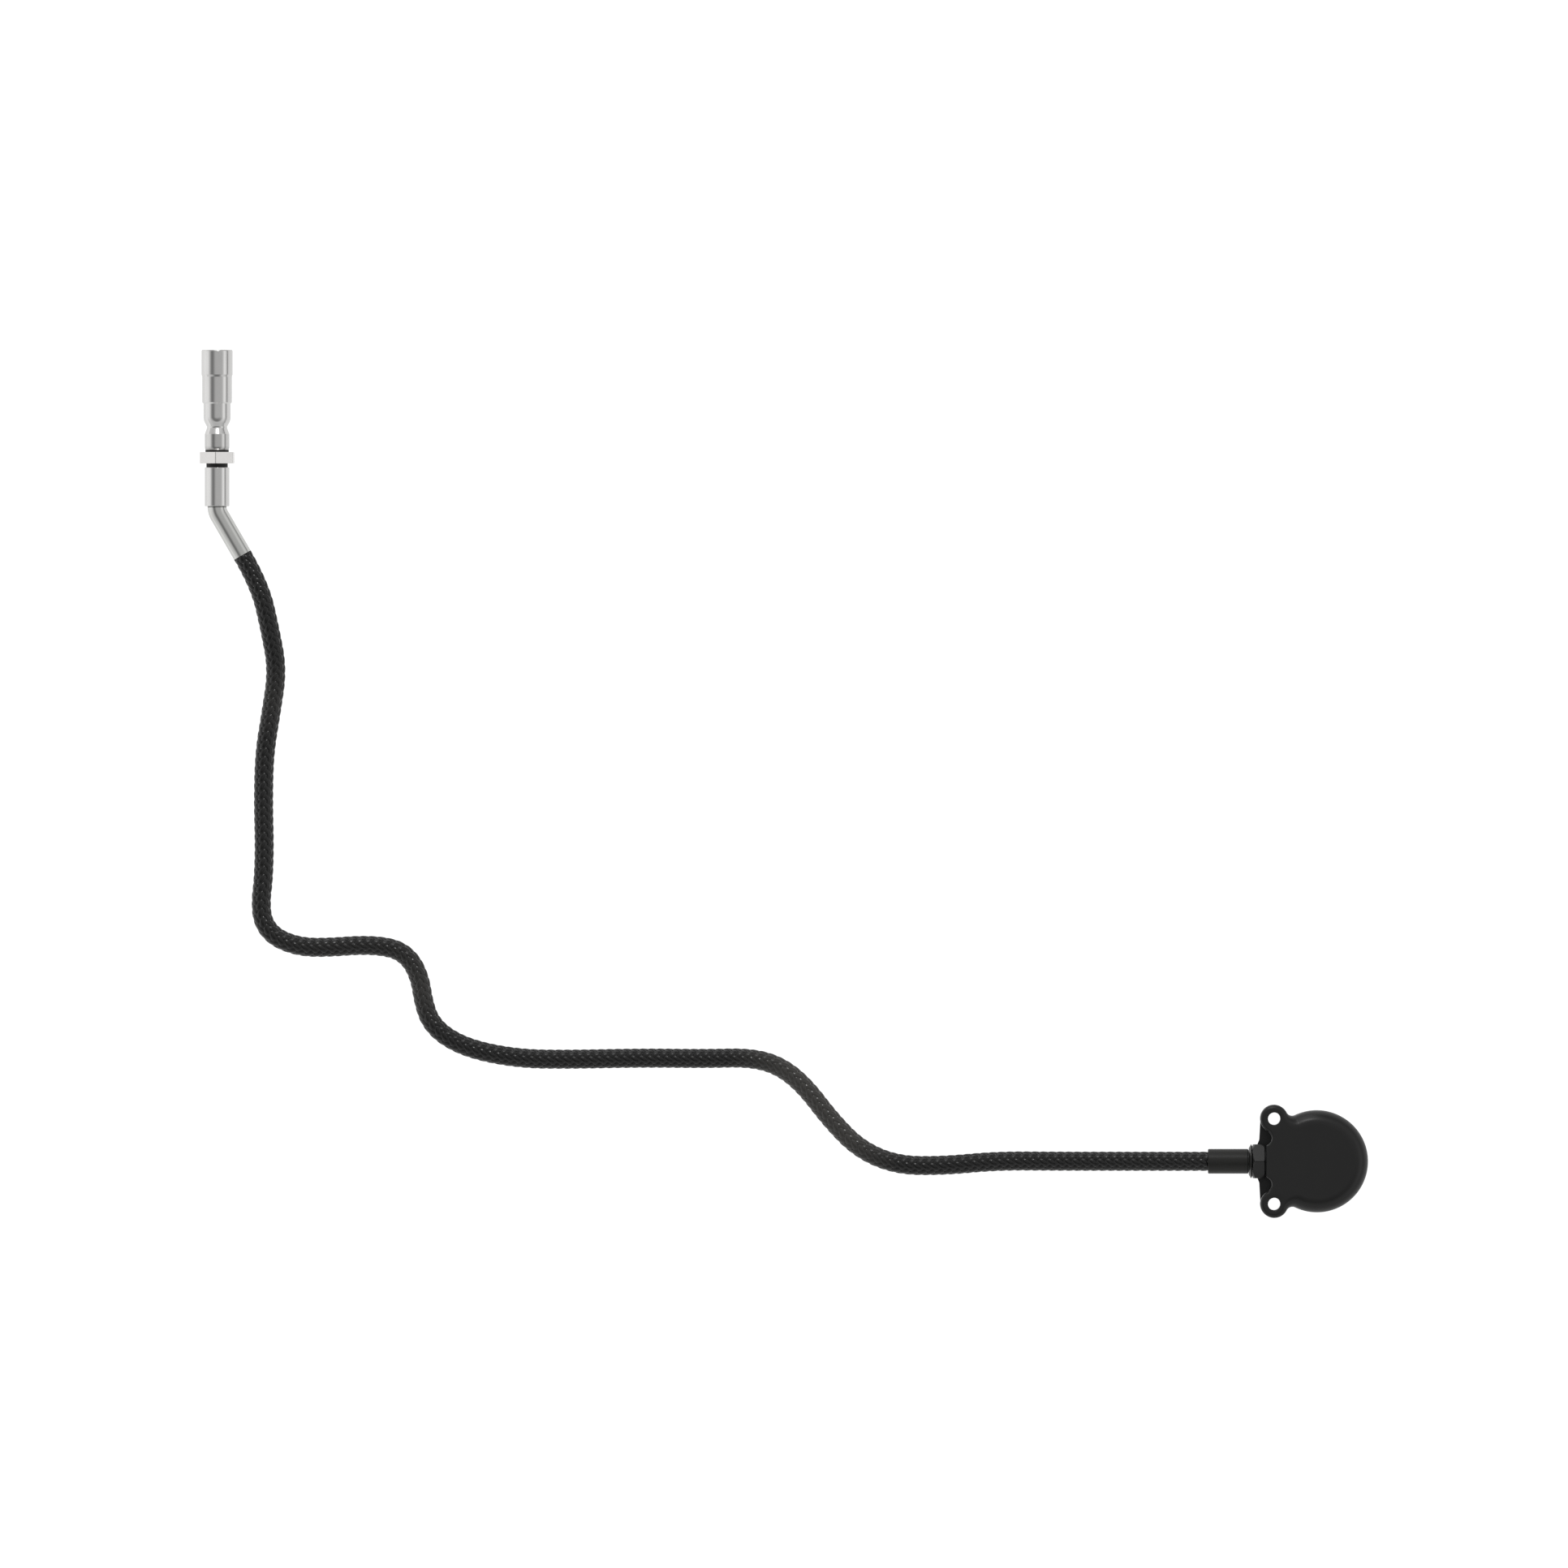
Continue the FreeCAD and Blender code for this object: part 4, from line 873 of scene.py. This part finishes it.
# %% Ferrule, collar, nut and washer
GLAND_BORE = 2.03
gland_origin = (0.0, 0.0, gland_z)
ferrule_far, ferrule_near = ends("cable_ferrule", 0)
ferrule_r = half_width("cable_ferrule", 1)
ferrule_outline = [
    (-ferrule_near, GLAND_BORE),
    (-ferrule_near, ferrule_r, 0.25),
    (-ferrule_far, ferrule_r, 0.35),
    (-ferrule_far, 2.53, 0.1),
    (-ferrule_near + 1.4, 2.53),
    (-ferrule_near + 1.4, GLAND_BORE),
]
points, faces = spun(ferrule_outline, gland_origin, "-x")
put("ferrule_turned", points, faces, blackened, "fixed_parts", ["cable_ferrule"])
collar_far, collar_near = ends("gland_collar", 0)
collar_outline = [
    (-collar_near, GLAND_BORE),
    (-collar_near, 3.85, 0.05),
    (-collar_near + 0.26, 4.3, 0.06),
    (-collar_far - 0.50, 4.3, 0.08),
    (-collar_far, 3.42, 0.05),
    (-collar_far, 2.85),
    (-ferrule_near - 0.01, 2.85),
    (-ferrule_near - 0.01, GLAND_BORE),
]
points, faces = spun(collar_outline, gland_origin, "-x")
put("collar_turned", points, faces, collar_black, "fixed_parts", ["gland_collar"])
ring_piece("washer_round", "gland_washer", gland_origin, "-x", GLAND_BORE, rubber, 0.12)
nut_piece("gland_nut_turned", "gland_nut", gland_origin, "-x", GLAND_BORE, 8.65, (0.12, 0.2), (0.66, 0.785),
          0.0, gland_black)

# %% [markdown]
# ## The housing cover
# Seen from above, the cover is a disc joined to two round ears by hollow necks, with a flat front between
# two round pockets. Its outline is made of arcs and lines, each with the way it faces, and the top edge is
# rounded widely on the disc and narrowly on the ears.

# %% Plan of the cover, in millimetres
PIN_X = 10.9
EAR_Y = 10.85
EAR_HOLE_R = 1.6
NECK_R = 1.65
POCKET_R = 1.86
POCKET_OFF = 0.5
POCKET_TURN = math.radians(35)
FRONT_HALF = 4.1
FRONT_CORNER = 0.45
DISC_ROUND = 3.5
ARC_STEP = 0.15
HOLE_ROUND = 0.25
SIDE_WALL = 1.62
TOP_WALL = 1.4
HOLE_POINTS = 72
CAVITY_POINTS = 96
cover_low, cover_top = ends("housing_cover", 2)
disc_r = ends("housing_cover", 0)[1] - PIN_X
ear_r = ends("housing_cover", 1)[1] - EAR_Y
front_x = ends("gland_washer", 0)[1]
pocket_x = front_x - POCKET_OFF
pocket_y = FRONT_HALF + math.sqrt(POCKET_R ** 2 - POCKET_OFF ** 2)


def arc_run(centre, radius, start, stop, rounding):
    """Points of an arc with the way they face, evenly apart, and the rounding of the top edge."""
    count = max(4, int(abs(stop - start) * radius / ARC_STEP))
    turn = np.linspace(start, stop, count)
    out = np.stack([np.cos(turn), np.sin(turn)], axis=1)
    facing = out if stop > start else -out
    spots = np.array(centre) + radius * out
    return np.column_stack([spots, facing, np.linspace(rounding[0], rounding[1], count)])


def half_outline():
    """The upper half of the outline, from the disc's far side round the ear to the middle of the front."""
    span = math.hypot(PIN_X, EAR_Y)
    to_ear, to_disc = ear_r + NECK_R, disc_r + NECK_R
    reach = (span ** 2 + to_ear ** 2 - to_disc ** 2) / (2 * span)
    away = math.sqrt(to_ear ** 2 - reach ** 2)
    neck = np.array([(PIN_X * reach + EAR_Y * away) / span, EAR_Y + (PIN_X * away - EAR_Y * reach) / span])
    disc_turn = math.atan2(neck[1], neck[0] - PIN_X)
    ear_turn = math.atan2(neck[1] - EAR_Y, neck[0])
    facing = np.array([math.cos(POCKET_TURN), math.sin(POCKET_TURN)])
    wall_way = np.array([-facing[1], facing[0]])
    wall_start = np.array([pocket_x, pocket_y]) + POCKET_R * facing
    from_ear = wall_start - np.array([0, EAR_Y])
    middle = from_ear @ wall_way
    wall_length = -middle - math.sqrt(middle ** 2 - from_ear @ from_ear + ear_r ** 2)
    wall_end = wall_start + wall_length * wall_way
    ear_stop = math.atan2(wall_end[1] - EAR_Y, wall_end[0]) % (2 * math.pi)
    corner_x = front_x + FRONT_CORNER
    corner_y = pocket_y - math.sqrt((POCKET_R + FRONT_CORNER) ** 2 - (corner_x - pocket_x) ** 2)
    corner_turn = math.atan2(pocket_y - corner_y, pocket_x - corner_x)
    runs = [
        arc_run((PIN_X, 0), disc_r, 0, disc_turn, (DISC_ROUND, DISC_ROUND)),
        arc_run(neck, NECK_R, disc_turn + math.pi, ear_turn + math.pi, (DISC_ROUND, 1.2))[1:],
        arc_run((0, EAR_Y), ear_r, ear_turn, ear_stop, (1.2, 0.7))[1:],
    ]
    share = np.linspace(1, 0, 9)[1:, None]
    wall = wall_start + share * wall_length * wall_way
    runs.append(np.column_stack([wall, -facing + 0 * wall, 0.6 + 0.1 * share]))
    pocket_stop = -(math.pi - corner_turn)
    runs.append(arc_run((pocket_x, pocket_y), POCKET_R, POCKET_TURN, pocket_stop, (0.6, 0.42))[1:])
    runs.append(arc_run((corner_x, corner_y), FRONT_CORNER, corner_turn, math.pi, (0.42, 0.15))[1:])
    flat = np.linspace(corner_y, 0, 12)[1:]
    runs.append(np.column_stack([0 * flat + front_x, flat, 0 * flat - 1, 0 * flat, 0 * flat + 0.15]))
    return np.concatenate(runs)


upper = half_outline()
lower = upper[::-1][1:-1] * np.array([1, -1, 1, -1, 1])
plan = np.concatenate([upper, lower])
print("cover outline: %d points" % len(plan))


# %% Filling a flat face between loops
def inside(points, loop):
    """Whether each point lies inside a closed loop, by counting how often a ray crosses its edges."""
    x, y = points[:, :1], points[:, 1:]
    a, b = loop, np.roll(loop, -1, axis=0)
    level = (a[:, 1] > y) != (b[:, 1] > y)
    run = b[:, 1] - a[:, 1]
    cross = (b[:, 0] - a[:, 0]) * (y - a[:, 1]) / np.where(run == 0, 1e-12, run) + a[:, 0]
    return (level & (x < cross)).sum(axis=1) % 2 == 1


def filled(loops, height, first):
    """Triangles that fill the first loop apart from the others, at one height."""
    spots = np.concatenate(loops)
    starts = np.cumsum([0] + [len(p) for p in loops])
    edges = np.concatenate([
        np.stack([np.arange(n), np.roll(np.arange(n), -1)], axis=1) + s
        for n, s in zip([len(p) for p in loops], starts)])
    made = delaunay_2d_cdt(spots.tolist(), edges.tolist(), [], 0, 1e-7, False)
    verts = np.array([tuple(v) for v in made[0]])
    triangles = np.array(made[2])
    middle = verts[triangles].mean(axis=1)
    keep = inside(middle, loops[0])
    for hole in loops[1:]:
        keep &= ~inside(middle, hole)
    points = np.column_stack([verts, np.full(len(verts), height)])
    return points, triangles[keep] + first


def circle(x, y, radius, count=HOLE_POINTS):
    """Points of a circle in the plan."""
    turn = np.linspace(0, 2 * np.pi, count, endpoint=False)
    return np.stack([x + radius * np.cos(turn), y + radius * np.sin(turn)], axis=1)


# %% Cover surface
def cover_surface():
    """Side wall, rounded top edge, flat top with its two holes, and the hollow inside."""
    bend = np.radians(np.linspace(0, 90, 9))
    r = plan[:, 4]
    inset = [0 * r, 0 * r] + [r * (1 - math.cos(b)) for b in bend] + [r + 0.05]
    level = [0 * r + cover_low, cover_top - r - 0.02] + [cover_top - r + r * math.sin(b) for b in bend]
    level.append(0 * r + cover_top)
    rows = [np.column_stack([plan[:, :2] - plan[:, 2:4] * i[:, None], z]) for i, z in zip(inset, level)]
    parts, faces = [np.concatenate(rows)], [grid_faces(len(rows), len(plan))]
    first = len(parts[0])
    rise = np.radians(np.linspace(0, 90, 6))
    radii = np.concatenate([[EAR_HOLE_R], EAR_HOLE_R + HOLE_ROUND * (1 - np.cos(rise))])
    heights = np.concatenate([[cover_low], cover_top - HOLE_ROUND + HOLE_ROUND * np.sin(rise)])
    for side in (1, -1):
        loops = [np.column_stack([circle(0, side * EAR_Y, q), np.full(HOLE_POINTS, h)])
                 for q, h in zip(radii, heights)]
        parts.append(np.concatenate(loops))
        faces.append(grid_faces(len(loops), HOLE_POINTS, first=first))
        first += len(parts[-1])
    rims = [circle(0, side * EAR_Y, EAR_HOLE_R + HOLE_ROUND) for side in (1, -1)]
    top, triangles = filled([rows[-1][:, :2]] + rims, cover_top, first)
    parts.append(top)
    faces.append(triangles)
    first += len(top)
    cavity_r, ceiling = disc_r - SIDE_WALL, cover_top - TOP_WALL
    wall = np.concatenate([
        np.column_stack([circle(PIN_X, 0, q, CAVITY_POINTS), np.full(CAVITY_POINTS, h)])
        for q, h in ((cavity_r, cover_low), (cavity_r, ceiling), (0, ceiling))])
    parts.append(wall)
    faces.append(grid_faces(3, CAVITY_POINTS, first=first))
    first += len(wall)
    holes = [circle(0, side * EAR_Y, EAR_HOLE_R) for side in (1, -1)]
    mouth = circle(PIN_X, 0, cavity_r, CAVITY_POINTS)
    under, triangles = filled([plan[:, :2], mouth] + holes, cover_low, first)
    parts.append(under)
    faces.append(triangles)
    return np.concatenate(parts), [list(f) for group in faces for f in group]


points, faces = cover_surface()
put("cover_shell", points, faces, enamel, "fixed_parts", ["housing_cover"], sharp=40)

# %% [markdown]
# ## Table and light
# The photograph has a pure white ground and broad, soft light, with a brighter side to the left. The table
# shines evenly for the camera, so that it stays white, and less for every other ray, so that black and
# bright pieces mirror a grey ground that is lighter on the left. The sky is a wide dome whose brightness
# depends on the direction, as between soft boxes in a studio.

# %% Table
TABLE_HALF = 6.0
TABLE_DROP = 0.0001
table_mesh = bpy.data.meshes.new("table")
table_mesh.from_pydata([(x * TABLE_HALF, y * TABLE_HALF, 0) for x, y in ((-1, -1), (1, -1), (1, 1), (-1, 1))],
                       [], [(0, 1, 2, 3)])
table = bpy.data.objects.new("table", table_mesh)
bpy.context.scene.collection.objects.link(table)
table.location.z = -TABLE_DROP
white = bpy.data.materials.new("white_table")
white.use_nodes = True
paper = white.node_tree
table_shader = paper.nodes["Principled BSDF"]
table_shader.inputs["Base Color"].default_value = (0.22, 0.22, 0.22, 1)
table_shader.inputs["Roughness"].default_value = 0.9
table_shader.inputs["Specular IOR Level"].default_value = 0.0
table_shader.inputs["Emission Color"].default_value = (1, 1, 1, 1)
# Painted light: in reflections the table glows more on the left and less on the right, in place of light from
# the left and shade on the right.
paper_levels = [(-0.30, 0.88), (-0.27, 0.74), (-0.2, 0.6)]
split = add(paper, "SeparateXYZ")
from_left = add(paper, "MapRange", {"From Min": -0.35, "From Max": -0.15})
glow = add(paper, "Mix", {"B": 1.0}, data_type="FLOAT")
join(paper,
     (add(paper, "TexCoord").outputs["Object"], split.inputs[0]),
     (split.outputs["X"], from_left.inputs["Value"]),
     (grey_ramp(paper, from_left.outputs[0], paper_levels, -0.35, -0.15), glow.inputs["A"]),
     (add(paper, "LightPath").outputs["Is Camera Ray"], glow.inputs["Factor"]),
     (glow.outputs["Result"], table_shader.inputs["Emission Strength"]))
table_mesh.materials.append(white)

# %% Sky
world = bpy.data.worlds.new("studio")
bpy.context.scene.world = world
world.use_nodes = True
dome = world.node_tree
split = add(dome, "SeparateXYZ")
join(dome, (add(dome, "TexCoord").outputs["Generated"], split.inputs[0]))


def calculated(operation, *values):
    """The result of one calculation on one or two values of the sky's direction."""
    node = add(dome, "Math", operation=operation)
    join(dome, *zip(values, node.inputs))
    return node.outputs[0]


# %% Brightness from the left horizon to the right one, and from the near one to the far one
left_to_right = [
    (-90, 1.0), (-72, 0.98), (-62, 0.80), (-52, 0.48), (-44, 0.28), (-36, 0.20), (-28, 0.24), (-20, 0.38),
    (-12, 0.50), (0, 0.53), (36, 0.53), (44, 0.62), (52, 0.88), (60, 0.99), (68, 0.90), (76, 0.6),
    (84, 0.34), (90, 0.42),
]
near_to_far = [
    (-90, 0.58), (-78, 0.58), (-58, 0.56), (-50, 0.62), (-44, 0.40), (-38, 0.22), (-22, 0.22), (-12, 0.42),
    (0, 0.53), (20, 0.54), (36, 0.62), (45, 0.78), (56, 0.60), (68, 0.42), (90, 0.38),
]
off_zenith = calculated("ARCCOSINE", split.outputs["Z"])


def horizon_levels(axis, stops):
    """The brightness at an angle off the zenith, signed by the side of the sky that it is on."""
    lean = calculated("MULTIPLY", off_zenith, calculated("SIGN", split.outputs[axis]))
    share = add(dome, "MapRange", {"From Min": -math.pi / 2, "From Max": math.pi / 2})
    join(dome, (lean, share.inputs["Value"]))
    return grey_ramp(dome, share.outputs[0], stops, -90, 90)


across_square = calculated("MULTIPLY", split.outputs["X"], split.outputs["X"])
along_square = calculated("MULTIPLY", split.outputs["Y"], split.outputs["Y"])
along_share = calculated("DIVIDE", along_square, calculated("ADD", across_square, along_square))
sky = add(dome, "Mix", data_type="FLOAT")
background = dome.nodes["Background"]
background.inputs["Strength"].default_value = 1.0
join(dome,
     (calculated("SQRT", along_share), sky.inputs["Factor"]),
     (horizon_levels("X", left_to_right), sky.inputs["A"]),
     (horizon_levels("Y", near_to_far), sky.inputs["B"]),
     (sky.outputs["Result"], background.inputs["Color"]))
print("sky levels: %d from left to right, %d from near to far" % (len(left_to_right), len(near_to_far)))

# %% Two soft boxes beyond the far side
def soft_box(name, place, aim, width, height, energy):
    """A flat light at a place, turned to face a point."""
    data = bpy.data.lights.new(name, "AREA")
    data.shape = "RECTANGLE"
    data.size = width
    data.size_y = height
    data.energy = energy
    box = bpy.data.objects.new(name, data)
    bpy.context.scene.collection.objects.link(box)
    box.location = place
    box.rotation_euler = (Vector(place) - Vector(aim)).to_track_quat("Z", "Y").to_euler()


soft_box("tall_box", (-0.24, 0.94, 0.44), (-0.05, 0.05, 0.0), 0.50, 0.90, 1.3)
soft_box("small_box", (-0.16, 0.75, 0.75), (-0.18, 0.03, 0.0), 0.14, 0.14, 0.65)
